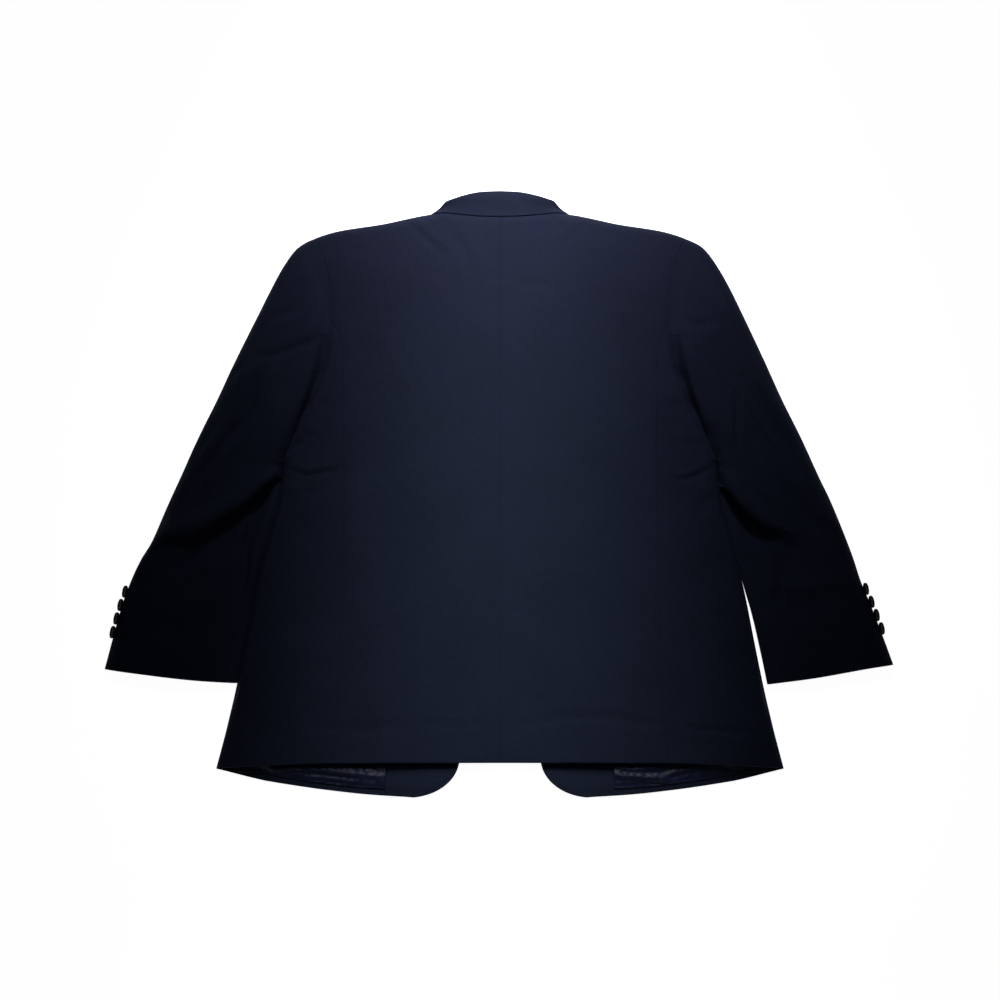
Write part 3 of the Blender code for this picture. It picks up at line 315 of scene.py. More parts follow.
def navyWorsted():             # wool twill, clear finished: matt, with a low bluish sheen
    made, tree, shader = newMaterial("navyWorstedTwill")
    place = addNode(tree, "ShaderNodeAttribute", attribute_name="cut").outputs["Vector"]
    wobble = {"Distortion": 0.9, "Detail": 2, "Detail Scale": 2.5}
    twill = bands(tree, place, worsted["twillPitch"], -27, **wobble)
    warp, weft = (noise(tree, moved(tree, place, Scale=scale), worsted["slub"], 3, Roughness=0.6)
                  for scale in ((1, 0.22, 1), (0.2, 1, 1)))
    patch = noise(tree, place, worsted["patch"], 1)
    yarns = calc(tree, "ADD", warp, weft)
    tone = calc(tree, "MULTIPLY_ADD", twill, 0.3, calc(tree, "ADD", yarns, patch))
    shade = ranged(tree, tone, 0.75, 2.55)
    cloth = blend(tree, shade, linear(worsted["dark"]), worsted["light"])
    # sparse lint, a few bright fibres on each panel
    often = {"Vector": place, "Scale": 1 / worsted["lintApart"]}
    cells = addNode(tree, "ShaderNodeTexVoronoi", often).outputs
    near = calc(tree, "LESS_THAN", cells["Distance"], worsted["lintSize"])
    chosen = addNode(tree, "ShaderNodeSeparateColor", {0: cells["Color"]}).outputs[0]
    lint = calc(tree, "MULTIPLY", near, calc(tree, "GREATER_THAN", chosen, worsted["lintFew"]))
    rough = worsted["roughness"]
    feed(tree, shader, {
        "Base Color": blend(tree, lint, cloth, worsted["speck"]),
        "Roughness": ranged(tree, patch, 0.3, 0.7, rough - 0.06, rough + 0.06),
        "Normal": bump(tree, yarns, 0.4, 0.0005, Normal=bump(tree, twill, 0.32, 0.00035)),
        "IOR": 1.54, "Specular IOR Level": 0.05, "Sheen Weight": worsted["sheen"],
        "Sheen Roughness": 0.45, "Sheen Tint": linear(worsted["sheenTint"])})
    return made


liningCloth = {
    "dark": "#0b1020", "light": "#1a2340", "rib": 1.1,     # mm; real ribs are 0.3, drawn coarser
    "blotch": 14, "roughness": 0.46,
}


def liningTwill():             # viscose twill: smooth and slippery, so its ripples flash
    made, tree, shader = newMaterial("viscoseLiningTwill")
    place = addNode(tree, "ShaderNodeAttribute", attribute_name="cut").outputs["Vector"]
    rib = bands(tree, place, liningCloth["rib"], 40, Distortion=0.4)
    blotch = noise(tree, place, liningCloth["blotch"], 3)
    shade = ranged(tree, calc(tree, "MULTIPLY_ADD", rib, 0.35, blotch), 0.35, 0.95)
    rough = liningCloth["roughness"]
    feed(tree, shader, {
        "Base Color": blend(tree, shade, linear(liningCloth["dark"]), liningCloth["light"]),
        "Roughness": ranged(tree, blotch, 0, 1, rough - 0.05, rough + 0.09),
        "Normal": bump(tree, blotch, 0.5, 0.004, Normal=bump(tree, rib, 0.15, 0.0002)),
        "IOR": 1.5, "Specular IOR Level": 0.2, "Anisotropic": 0.35})
    return made


resin = {"dark": "#05060a", "vein": "#0e1018", "grain": 0.005, "roughness": 0.7}


def buttonResin():             # cast polyester, tumbled: a soft polish with faint horn-like veins
    made, tree, shader = newMaterial("castResinHorn")
    place = addNode(tree, "ShaderNodeTexCoord").outputs["Object"]
    swirl = noise(tree, place, resin["grain"], 4, Distortion=1.4)
    shade = ranged(tree, swirl, 0.42, 0.68)
    rough = resin["roughness"]
    feed(tree, shader, {
        "Base Color": blend(tree, shade, linear(resin["dark"]), resin["vein"]),
        "Roughness": ranged(tree, swirl, 0, 1, rough - 0.05, rough + 0.1),
        "Normal": bump(tree, swirl, 0.08, 0.0003),
        "IOR": 1.55, "Specular IOR Level": 0.05})
    return made


finishes = {"navy_wool": navyWorsted(), "lining_twill": liningTwill(), "button_resin": buttonResin()}
print("materials made")


# the body's cut, for one half: (level y, half width x)

bodyCut = {
    "sideFold": ((-317.5, 312.5), (-270, 305.5), (-225, 300.5), (-180, 296.5), (-120, 291.5), (-60, 283.5),
                 (0, 274.8), (46, 273.5)),
    "armhole": ((46, 273.5), (52, 272.6), (60, 270.2), (70, 266.5), (110, 252.5), (150, 239.5), (190, 230),
                (235, 225.5), (290, 229.5), (340, 241), (382.5, 260)),
    "sideBackSeam": ((-318, 184.5), (-240, 183), (-100, 189), (40, 196.5), (140, 203.5), (200, 208),
                     (226, 214.5), (245, 225.7)),
    "underarmSeam": ((-332, 256), (-250, 251), (-150, 244), (0, 235), (100, 234.5), (150, 239.5)),
    "rollLine": ((-20, 3), (60, 17), (150, 35), (250, 54.5), (339, 71.5), (382, 79.5), (408, 83),
                 (440, 85)),
    "frontEdge": ((-306.5, 45), (-270, 33), (-210, 20), (-140, 9.5), (-80, 4.5), (-20, 3)),
    "facingEdge": ((-350, 126), (-300, 123), (-200, 111), (-100, 100), (0, 93)),
    "liftEdge": ((-60, 30), (-20, 36), (5, 43), (50, 62), (105, 80), (165, 103.5), (220, 118), (268, 127),
                 (310, 128), (360, 126.5), (405, 125), (440, 122)),
}
# the same for outlines read by distance from the middle: (x, y)
shoulderLine = ((0, 530), (60, 462), (88, 435.5), (114, 427.5), (142, 418.5),
                (170, 410.5), (198, 403.5), (226, 396), (248, 388), (262, 381.5))
backHem = ((0, -310.9), (184, -311.2), (250, -313.4), (290, -315.2), (312.5, -316.8))
frontHem = ((90, -346.5), (150, -343.5), (200, -338.5), (256, -329.5), (312.5, -316.8))
# height of the back at 0, 60, 150 and 240 mm from its middle
backRise = ((-325, 11, 12.6, 14.2, 13.2), (-290, 12, 12.9, 14.3, 13.4),
            (-200, 12.9, 13.5, 14.4, 13.9), (-60, 13.4, 14, 14.8, 14.6),
            (60, 14.5, 15, 16, 17), (160, 15.6, 16.2, 18, 20.5),
            (260, 16.8, 17.8, 21.6, 26.5), (340, 17.6, 18.6, 25, 31),
            (400, 17.7, 18, 25, 31.5), (450, 17.7, 17.8, 23, 29))
bodyShape = {
    "cloth": 2.2, "shoulderPointY": 382.5, "underarmY": 46, "backSeamTopY": 245,
    "frontSeamTopY": 150, "neckPoint": (88, 435.5), "neckDip": 5.5,
    "sideFoldZ": 4.8, "sideRoll": (18, 6), "shoulderRoll": (24, 13),
    "shoulderRidge": 0.45, "widening": 0.85,
}
frontShape = {
    "cornerCentre": (100, -306.5), "cornerSize": (55, 40), "lapelLift": 2.5,
    "buttonLift": 3.5, "buttonStrip": 40, "standLead": 5.5,
}
shoulderPointX, shoulderPointY = 260, bodyShape["shoulderPointY"]
hemY = -311.2                  # the back hem at its middle
underarmY = bodyShape["underarmY"]
cornerLow = frontShape["cornerCentre"][1] - frontShape["cornerSize"][1]     # the front's lowest point


def sideFoldX(y):
    return tableAt(bodyCut["sideFold"], y) + bodyShape["widening"] * np.maximum(y - underarmY, 0)


def backLevel(x, y):
    columns = [tableAt(backRise, y, k) for k in (1, 2, 3, 4)]
    stations = np.array([0, 60, 150, 240])
    x = np.clip(np.abs(x), 0, 240)
    k = np.clip(np.searchsorted(stations, x) - 1, 0, 2)
    t = ease((x - stations[k]) / (stations[k + 1] - stations[k]))
    low, high = np.choose(k, columns[:3]), np.choose(k, columns[1:])
    return low + (high - low) * t


def ridgeLevel(x, y):
    low = bodyShape["sideFoldZ"]
    shoulder = bodyShape["shoulderRidge"] * backLevel(x, y)
    return low + (shoulder - low) * ease((y - 90) / 240)


def rolls(x, y, which):        # 0 on the garment's outline and 1 away from it
    atSide = arch((sideFoldX(y) - x) / bodyShape["sideRoll"][which])
    atShoulder = arch((tableAt(shoulderLine, x) - y) / bodyShape["shoulderRoll"][which])
    return atSide * atShoulder


def frontEdgeX(y):
    centre, size = frontShape["cornerCentre"], frontShape["cornerSize"]
    down = np.clip((centre[1] - y) / size[1], 0, 1)
    corner = centre[0] - size[0] * np.sqrt(1 - down ** 2)
    turned = ease((y + 52) / 32) * (frontShape["standLead"] + 0.9)
    edge = np.where(y < -20, tableAt(bodyCut["frontEdge"], y), tableAt(bodyCut["rollLine"], y))
    return np.where(y < centre[1], corner, edge + turned)


def frontZ(x, y, onButtons):
    edge = tableAt(bodyCut["liftEdge"], y)
    base = frontShape["lapelLift"] * ease((y + 66) / 36) * (1 - ease((x - edge) / 11))
    if onButtons:
        strip = 1 - ease((x - frontEdgeX(y) - frontShape["buttonStrip"]) / 20)
        over = frontShape["buttonLift"] * ease((y + 228) / 42) * (1 - ease((y - 2) / 26))
        base = np.maximum(base, over * strip)
    return base + (ridgeLevel(x, y) - base) * (1 - rolls(x, y, 1))


def armholeX(y):
    return tableAt(bodyCut["armhole"], y)


def sideBackX(y):
    return tableAt(bodyCut["sideBackSeam"], y)


def underarmX(y):
    return tableAt(bodyCut["underarmSeam"], y)


# creases of the back, in picture places: x is negative on the wearer's left

backCreases = [
    # under the left arm: one long pull to the seam, a short one above it
    crease(6, 3.6, (-268, 56), (-257, 70), (-246, 79), ridge=0.3),
    crease(2.8, 2.6, (-268, 38), (-254, 33), (-240, 27.5), (-224, 30.5), (-190, 37.5), ridge=0.75, lean=1,
           taper=0.6),
    crease(9, -1.8, (-266, 18), (-252, 6), (-238, 0), ridge=0.2),
    crease(3.6, 1.3, (-262, 88), (-249, 84.7), (-238.4, 80.6), (-226, 79), ridge=0.7),
    crease(7, 0.9, (-262, 8), (-240, 4), (-214, 10)),
    crease(8, 0.8, (-268, -22), (-246, -34), (-228, -58)),
    crease(5, 0.9, (-236, 132), (-222, 121), (-206, 118)),
    # under the right arm
    crease(3.4, 2.4, (270, 40), (256, 33), (242, 26), (226, 21), (210, 24), ridge=0.7, lean=-1),
    crease(9, -1.6, (266, 14), (252, 8), (238, 4), ridge=0.2),
    crease(4.5, 1, (262, 66), (246, 70), (228, 69)),
    crease(7.5, 0.9, (270, -8), (248, -16), (230, -40)),
    crease(5, 0.8, (238, 128), (224, 120), (208, 121)),
    # from the neck: the cloth is eased into the collar
    crease(5.5, 1.5, (-134, 417), (-112.7, 390.1), (-88.1, 366.2), (-70, 352), ridge=0.6),
    crease(8, 1.3, (-74, 412), (-56.1, 373), (-41.6, 341), (-32.9, 304.8), (-30, 280), ridge=0.45),
    crease(6, 0.9, (-26, 408), (-21, 384), (-25, 362)),
    crease(8.5, 0.9, (62, 414), (52, 380), (50, 350), (58, 322)),
    crease(6.5, 1, (118, 412), (104, 386), (84, 368)),
    crease(7, 0.7, (14, 330), (2, 320), (-14, 318), (-26, 322)),
    crease(6, 0.8, (20, 306), (44, 309), (72, 300)),
    # small marks of wear across the middle
    crease(3.2, 0.9, (53, 182), (46, 164), (38, 150)),
    crease(3.4, 0.7, (-56, 108), (-44, 100), (-28, 97)),
    crease(3.6, 0.6, (24, 218), (12, 226), (-6, 224)),
    crease(9, 0.6, (-92, 206), (-84, 172), (-88, 140)),
    crease(10, 0.6, (108, 232), (100, 190), (106, 150)),
    # the lower back: soft vertical falls and the marks beside the middle seam
    crease(4.5, 0.9, (-20, -214), (-29.2, -242.1), (-35, -266)),
    crease(6.5, 0.7, (16, -228), (10, -262), (18, -286)),
    crease(15, 0.8, (-120, -60), (-128, -140), (-118, -230), (-124, -286), ridge=0.3),
    crease(16, 0.7, (92, 20), (100, -80), (92, -180), (98, -270), ridge=0.3),
    crease(11, 1, (236, -96), (246, -170), (252, -240)),
    crease(11, 1, (-226, -110), (-240, -180), (-246, -262)),
    # the turned-up hem shows through, uneven, about 40 mm above the edge
    crease(3.4, 2, (8, -276), (34, -270), (77.9, -262), (133.4, -264.5), (184, -272), ridge=0.45,
           taper=0.35),
    crease(3.4, 1.7, (-206, -277), (-176, -274.4), (-149.3, -276), (-110, -272), ridge=0.4, taper=0.4),
    crease(3.4, 1.2, (-96, -270), (-60, -273), (-20, -270), taper=0.4),
    crease(3.4, 1.4, (206, -274), (240, -277), (278, -279), taper=0.4),
]


def seamValley(x, y):          # the cloth sinks a little where it is sewn to the sleeve
    span = np.linspace(0.02, 0.98, 180)
    levels = underarmY + span * (335 - underarmY)
    nearest = np.full(np.broadcast(x, y).shape, 1e9)
    for level, edge in zip(levels, armholeX(levels)):
        nearest = np.minimum(nearest, np.hypot(np.abs(x) - edge, y - level))
    ragged = 1 + 0.16 * np.sin(y / 6.5 + 1) + 0.12 * np.sin(y / 15)
    deep = 7 * ragged * ease((y - 32) / 34) * (1 - ease((y - 170) / 62))
    deep += 1.3 * ease((y - 190) / 50) * (1 - ease((y - 320) / 50))
    return -deep * np.exp(-(nearest / 5) ** 2)


def underCollar(x, y):         # the collar's fall presses the cloth beneath it
    edge = smooth(x, collarTable[:5, 9], collarTable[:5, 10])
    return -1.1 * ease((y - edge + 10) / 10) * (1 - ease((x - 66) / 26))


def seamPucker(x, y, seamX, seed):     # shallow pulls at even-ish steps along a seam
    away = np.abs(np.abs(x) - seamX)
    beat = np.sin(y * math.tau / 17 + 2.2 * np.sin(y / 23 + seed)) * (0.5 + 0.5 * np.sin(y / 61 + seed))
    return 0.16 * beat * np.exp(-(away / 7) ** 2) - 0.35 * np.exp(-(away / 2.6) ** 2)


def backRelief(x, y, side):    # x is the half width; side is -1 on the wearer's left
    here = x * side
    height = creaseHeight(here, y, backCreases) + waves(here, y, 5, 190, 1.1)
    height += waves(here, y, 9, 60, 0.35) * (0.4 + 0.6 * ease((np.abs(x) - 60) / 140))
    height += seamPucker(x, y, sideBackX(y), 1 + side) + seamPucker(x, y, 0, 4)
    height += seamValley(x, y) + underCollar(x, y)
    calm = ease((y + 322) / 22)       # the hem's edge stays even
    return height * (0.35 + 0.65 * calm)


def backZ(x, y, side):
    flat = rolls(x, y, 0)
    # beside the sleeve the edge lies sunk, so the slit between them is dark
    sunk = ease((12 - y) / 70) * ease((y + 262) / 36)
    inward = sideFoldX(y) - x
    flat = flat + sunk * (ease((inward - 1.2) / 6) - flat) * (inward < 40)
    ridge = ridgeLevel(x, y)
    return ridge + (backLevel(x, y) - ridge) * flat + backRelief(x, y, side) * flat ** 2


# back panels

backPanel = {"length": 700, "width": 225, "rows": 130, "columns": 96, "shoulderRows": 34,
             "flat": (0.268, 0.752), "area": 0.152}


def makeBack(side, name):
    top = 1 - (1 - np.linspace(0, 1, backPanel["shoulderRows"])) ** 2      # closer rows at the padding
    across, climb = panelShares(backPanel)
    climb = np.unique(np.concatenate([climb[climb < 0.9], 0.9 + 0.1 * top]))
    neckX, neckY = bodyShape["neckPoint"]
    topX = across * shoulderPointX
    neck = neckY - bodyShape["neckDip"] * (1 - np.clip(topX / neckX, 0, 1) ** 2)
    topY = np.where(topX <= neckX, neck, tableAt(shoulderLine, topX))
    topY[-1] = shoulderPointY
    low = tableAt(backHem, across * float(sideBackX(hemY)))
    y = low[None, :] + climb[:, None] * (topY - low)[None, :]
    edge = np.where(y <= bodyShape["backSeamTopY"], sideBackX(y), armholeX(y))
    x = seamGap / 2 + across[None, :] * (edge - seamGap)
    face = np.stack([x, y, backZ(x, y, side)], axis=-1)
    sewPiece(f"back_{name}", face, side, bodyShape["cloth"], "free sewn sewn sewn")
    return face


# side panels

sidePanel = {"length": 560, "width": 200, "rows": 130, "columns": 50, "frontColumns": 26,
             "frontHemX": (-329, -317),        # where the front hem's ends are read
             "flat": (0.190, 0.576), "area": 0.0686}


def makeSide(side, name):
    across, climb = panelShares(sidePanel)

    def half(tops, seamX, gather, hem, seamLow, foldLow, level):
        share = (armholeX(tops) - seamX(tops)) / (sideFoldX(tops) - seamX(tops))
        share = np.clip(gather.accumulate(share), 0, 1)
        if gather is np.maximum:
            share[0], share[-1] = 0, 1
        else:
            share[-1] = 0
        seam, fold = float(seamX(seamLow)), float(sideFoldX(foldLow))
        low = tableAt(hem, seam + share * (fold - seam))
        y = low + climb * (tops - low)
        seamAt, foldAt = seamX(y) + seamGap / 2, sideFoldX(y)
        x = seamAt + share * (foldAt - seamAt)
        return np.stack([x, y, level(x, y)], axis=-1)

    closing = 1 - (1 - across) ** 1.7
    topLevel = bodyShape["backSeamTopY"]
    upper = half(topLevel + closing * (underarmY - topLevel), sideBackX, np.maximum, backHem,
                 hemY, hemY, lambda x, y: backZ(x, y, side))
    opening = np.linspace(0, 1, sidePanel["frontColumns"])[1:] ** 1.6
    under = half(underarmY + opening * (bodyShape["frontSeamTopY"] - underarmY), underarmX, np.minimum,
                 frontHem, *sidePanel["frontHemX"], lambda x, y: frontZ(x, y, False))
    face = np.concatenate([upper, under], axis=1)
    sewPiece(f"side_{name}", face, side, bodyShape["cloth"], "free sewn sewn sewn")
    return face, upper.shape[1]


# fronts, with their facings and lining

frontPanel = {"length": 740, "width": 215, "rows": 110, "columns": 60, "neckY": 429.5,
              "flat": (0.262, 0.786), "area": 0.1545}
facingPanel = {"length": 330, "width": 70, "rows": 90, "columns": 26, "cloth": 1.6, "topY": -2,
               "backX": 125.2, "flat": (0.117, 0.346), "area": 0.0304}


def makeFront(side, name):
    onButtons = side > 0
    across, up = panelShares(frontPanel)

    def edges(y):
        inner = frontEdgeX(y)
        outer = np.where(y <= bodyShape["frontSeamTopY"], underarmX(y), armholeX(y))
        return inner, outer - seamGap / 2

    inner, outer = edges(np.array([cornerLow + 0.3, frontPanel["neckY"]]))
    hemX = inner[0] + across * (outer[0] - inner[0])
    topX = inner[1] + across * (shoulderPointX - inner[1])
    low = tableAt(frontHem, hemX)
    low[0] = max(low[0], cornerLow + 0.3)
    top = np.minimum(tableAt(shoulderLine, topX), bodyShape["neckPoint"][1] - 0.4)
    y = low + up ** (1 + 0.7 * (1 - across)) * (top - low)
    inner, outer = edges(y)
    x = inner + across * (outer - inner)
    face = np.stack([x, y, frontZ(x, y, onButtons)], axis=-1)
    face[-1, :, 2] -= 0.1
    sewPiece(f"front_{name}", face, side, bodyShape["cloth"], "free sewn free sewn",
             outward=-1)
    return face


def makeFacing(side, name):
    onButtons = side > 0
    across, up = panelShares(facingPanel)
    edgeX = float(frontEdgeX(np.array(cornerLow + 1.2)))
    hemX = edgeX + across * (facingPanel["backX"] - edgeX)
    low = np.maximum(tableAt(frontHem, hemX) + 1, cornerLow + 1.2)
    y = low + up ** (1 + 0.9 * (1 - across)) * (facingPanel["topY"] - low)
    inner = frontEdgeX(y) + 1
    x = inner + across * (tableAt(bodyCut["facingEdge"], y) - inner)
    z = frontZ(x, y, onButtons) + bodyShape["cloth"] + facingPanel["cloth"] + 0.35
    z += 0.9 * np.exp(-((y - low - 9) / 8) ** 2) * ease(across * 6)      # a soft roll at the hem
    z += waves(x * side, y, 21, 60, 0.35)
    face = np.stack([x, y, z], axis=-1)
    sewPiece(f"facing_{name}", face, side, facingPanel["cloth"], "free free free free",
             behind=face - (0, 0, facingPanel["cloth"]))


liningStrip = {"length": 90, "width": 190, "rows": 60, "columns": 190, "cloth": 1, "topY": -248,
               "hemRise": 7.5, "fromX": 125.4, "toX": 293, "flat": (0.170, 0.100), "area": 0.0140}
liningCreases = {
    "left": [
        crease(2.6, -1.9, (-262, -312), (-247.3, -318), (-231.1, -316), (-186.8, -319.1), (-122.6, -327.3),
               ridge=0.5, taper=0.5),
        crease(2.2, -1.2, (-240, -322), (-206, -324.5), (-160, -330), (-124, -332), ridge=0.4, taper=0.6),
        crease(2.2, -1, (-214, -312), (-188, -314), (-156, -320)),
        crease(2.6, 1.2, (-176, -308), (-150, -313), (-128, -322)),
    ],
    "right": [
        crease(2.6, -1.9, (118, -321), (140, -325), (169.8, -326.3), (196, -320), (222, -315), ridge=0.5,
               taper=0.5),
        crease(2.2, -1.2, (122, -330), (150, -331), (186, -328), (232, -320), ridge=0.4, taper=0.6),
        crease(2.4, -1.1, (124, -313), (146, -317), (176, -314)),
        crease(2.4, -0.9, (190, -310), (214, -309), (246, -313)),
    ],
}


def makeLining(side, name):
    strip = liningStrip
    across, up = panelShares(strip)
    x = strip["fromX"] + across * (strip["toX"] - strip["fromX"]) + 0 * up
    low = tableAt(frontHem, x) + strip["hemRise"] * (1 - 0.72 * ease((across - 0.8) / 0.2))
    y = low + up * (strip["topY"] - low)
    puff = 2.6 * np.exp(-(((up - 0.17) / 0.11) ** 2)) * (0.72 + 0.28 * np.sin(9 * across + 0.6))
    ripple = 0.7 * np.abs(np.sin(26 * across + 4 * up)) * ease(up / 0.2)
    tuck = 1 - 0.75 * ease((across - 0.82) / 0.16)
    fine = creaseHeight(x * side, y, liningCreases[name]) + waves(x * side, y * 2, 31, 34, 0.7)
    fine += waves(x * side, y * 1.5, 33, 12, 0.6)
    calm = ease(up / 0.04)
    z = frontZ(x, y, False) + bodyShape["cloth"] + 0.5 + strip["cloth"]
    z = z + (puff + ripple * (1 - ease((across - 0.86) / 0.1)) + fine * calm) * tuck
    z = np.maximum(z, frontZ(x, y, False) + bodyShape["cloth"] + strip["cloth"] + 0.2)
    face = np.stack([x, y, z], axis=-1)
    sewPiece(f"lining_{name}", face, side, strip["cloth"], "free free free free",
             "lining_twill", behind=face - (0, 0, strip["cloth"]))


# collar and lapels: a band folded over, read across from its seam to its free edge

lapelTable = np.array([        # level on the roll line, then a middle point and the free edge
    (12, 18, 9.5, 26, 7), (60, 31, 55, 46, 50), (125, 52, 116, 76, 105),
    (195, 71, 181, 100, 165), (265, 84, 242, 114.5, 220),
    (338.8, 95.3, 307.5, 123.5, 268)])
collarTable = np.array([       # seam, fold, middle and free edge as x y z, then the turn in degrees
    (0, 430.4, 15.4, 0, 467, 18.1, 0, 446, 21.4, 0, 423, 21, 0),
    (28, 430.9, 15.4, 29, 465, 18.1, 30, 445, 21.4, 31, 424, 21, 2),
    (54, 432.8, 15.4, 53, 458.5, 17.6, 57, 442.5, 21.2, 62, 427.5, 21, 12),
    (70, 435.5, 14.2, 68, 452, 15.6, 73.5, 441.5, 19.8, 80, 429.5, 20, 35),
    (78.5, 438.5, 10.5, 76.5, 447.5, 11, 84, 441.5, 15.6, 91, 430.6, 17.2, 75),
    (86.5, 437, 8, 81.5, 442.5, 5, 91.5, 440.5, 6, 100, 434.4, 7.6, 125),
    (89.1, 426, 6, 83.6, 428, 3, 98, 428, 0.2, 113.5, 424.5, 0.2, 172),
    (88.1, 405, 6, 82.6, 405, 3, 102, 405, 0, 121, 404, 0, 180),
    (85, 382, 6, 79.5, 382, 3, 101, 380, 0, 122, 379, 0, 180),
    (80.9, 359, 6, 75.4, 359, 3, 98.5, 350, 0, 120, 349, 0, 180),
    (77.2, 340.4, 6, 71.7, 340.4, 3, 96, 308, 0, 117, 322, 0, 180)])
turnedBand = {"cloth": 1.6, "eased": 0.6, "foldLead": 4.5, "leafSpacing": 3,
              "standColumns": 7, "foldColumns": 16, "fallColumns": 14}
collarBand = {"rowsPerStation": 13, "lastStation": 22, "rimCloth": 0.7,
              "flat": (0.098, 0.470), "area": 0.0230}
lapelPanel = {"length": 330, "rows": 80, "flat": (0.092, 0.372), "area": 0.0181}


def turnedRow(seam, fold, mid, edge, turn):
    seam, fold, mid, edge = (np.array(p, float) for p in (seam, fold, mid, edge))
    way = np.array([0, math.sin(math.radians(turn)), math.cos(math.radians(turn))])

    def level(v):
        v = v - way * (v @ way)
        return v / max(np.linalg.norm(v), 1e-6)

    spacing = turnedBand["leafSpacing"]
    lead = min(turnedBand["foldLead"], 0.6 * np.linalg.norm(seam - fold))
    before = fold + lead * level(seam - fold) - spacing * way
    after = fold + turnedBand["foldLead"] * level(mid - fold) + spacing * way
    near = edgeSteps[:-1] / max(np.linalg.norm(before - seam), 8)
    stand = np.concatenate([near, np.linspace(near[-1], 1, turnedBand["standColumns"])[1:]])
    row = [seam + share * (before - seam) for share in stand]
    centre = (before + after) / 2
    reach = fold - centre
    for angle in np.linspace(0, math.pi, turnedBand["foldColumns"])[1:-1]:
        row.append(centre + math.sin(angle) * reach + math.cos(angle) * (before - centre))
    span = np.linalg.norm(edge - after)
    near = edgeSteps[::-1] / max(span, 8)
    fall = np.linspace(0, 1 - near[0], turnedBand["fallColumns"])[:-1]
    fall = np.concatenate([fall, 1 - near])
    row += list(alongCurve([after, mid, edge], fall))
    return row


def bandCut(face):             # grain along the band's own length
    along = np.cumsum(np.linalg.norm(np.diff(face[:, 0], axis=0, prepend=face[:1, 0]), axis=1))
    across = np.cumsum(np.linalg.norm(np.diff(face, axis=1, prepend=face[:, :1]), axis=2), axis=1)
    return np.stack([across, np.broadcast_to(along[:, None], across.shape)], axis=-1)


def makeCollar():
    steps = collarBand["rowsPerStation"]
    last = len(collarTable) - 1
    near = edgeSteps[1:-1] / collarBand["lastStation"]     # mm from the row before the end
    half = np.unique(np.concatenate([np.linspace(0, last, last * steps + 1), last - near]))
    places = np.concatenate([-half[:0:-1], half])
    grid, turns = [], []
    for place in places:
        n = rowAt(collarTable, abs(place))
        row = turnedRow(n[0:3], n[3:6], n[6:9], n[9:12], n[12])
        way = 1 if place > 0 else -1 if place < 0 else 0
        grid.append([p * (way, 1, 1) for p in row])
        turns.append(n[12])
    face = np.array(grid)
    lean = np.sin(np.radians(np.clip(turns, 0, 180))) ** 0.35
    columns = face.shape[1]
    count = turnedBand["fallColumns"]
    firstFall = columns - (count - 1 + len(edgeSteps))
    fall = np.clip((np.arange(columns) - firstFall) / count, 0, 1)[None, :]
    onBack = 1 - ease((np.array(turns)[:, None] - 40) / 64)
    thickness = (turnedBand["cloth"] - turnedBand["eased"] * lean)[:, None]
    thickness = np.maximum(thickness * (1 - 0.37 * ease(fall) * onBack), 1)
    x, y, z = face[..., 0], face[..., 1], face[..., 2]      # views, so z += moves the face
    z += ease((z - 14) / 4) * (waves(x, y, 14, 60, 0.55) + creaseHeight(x, y, collarCreases))
    # the fall is pressed thin and down, so its edge lies close on the back
    under = [backZ(np.abs(x), y, side) for side in (-1, 1)]
    rest = np.where(x < 0, *under) + thickness + 0.08
    z += ease(fall) * onBack * (rest - z)
    behind = face - thickness[..., None] * normalsOf(face)
    sewPiece("collar", face, 1, collarBand["rimCloth"], "free free sewn free",
             cut=bandCut(face), behind=behind)


collarCreases = [
    crease(5, 0.5, (-52, 448), (-30, 441), (-6, 443)),
    crease(5, 0.5, (18, 452), (40, 444), (60, 440)),
]


def makeLapel(side, name):
    grid = []
    for place in crowded(lapelPanel["length"], lapelPanel["rows"]) * (len(lapelTable) - 1):
        rollY, midX, midY, edgeX, edgeY = rowAt(lapelTable, place)
        rollX = float(tableAt(bodyCut["rollLine"], rollY))
        spacing = turnedBand["leafSpacing"]
        grid.append(turnedRow(
            (rollX + frontShape["standLead"], rollY, 2 * spacing), (rollX, rollY, spacing),
            (midX, midY, 0), (edgeX, edgeY, 0), 180))
    face = np.array(grid)
    sewPiece(f"lapel_{name}", face, side, turnedBand["cloth"], "free free sewn free",
             cut=bandCut(face), outward=-1)


# sleeves: a tube pressed flat between four edges, folded over itself below the elbow

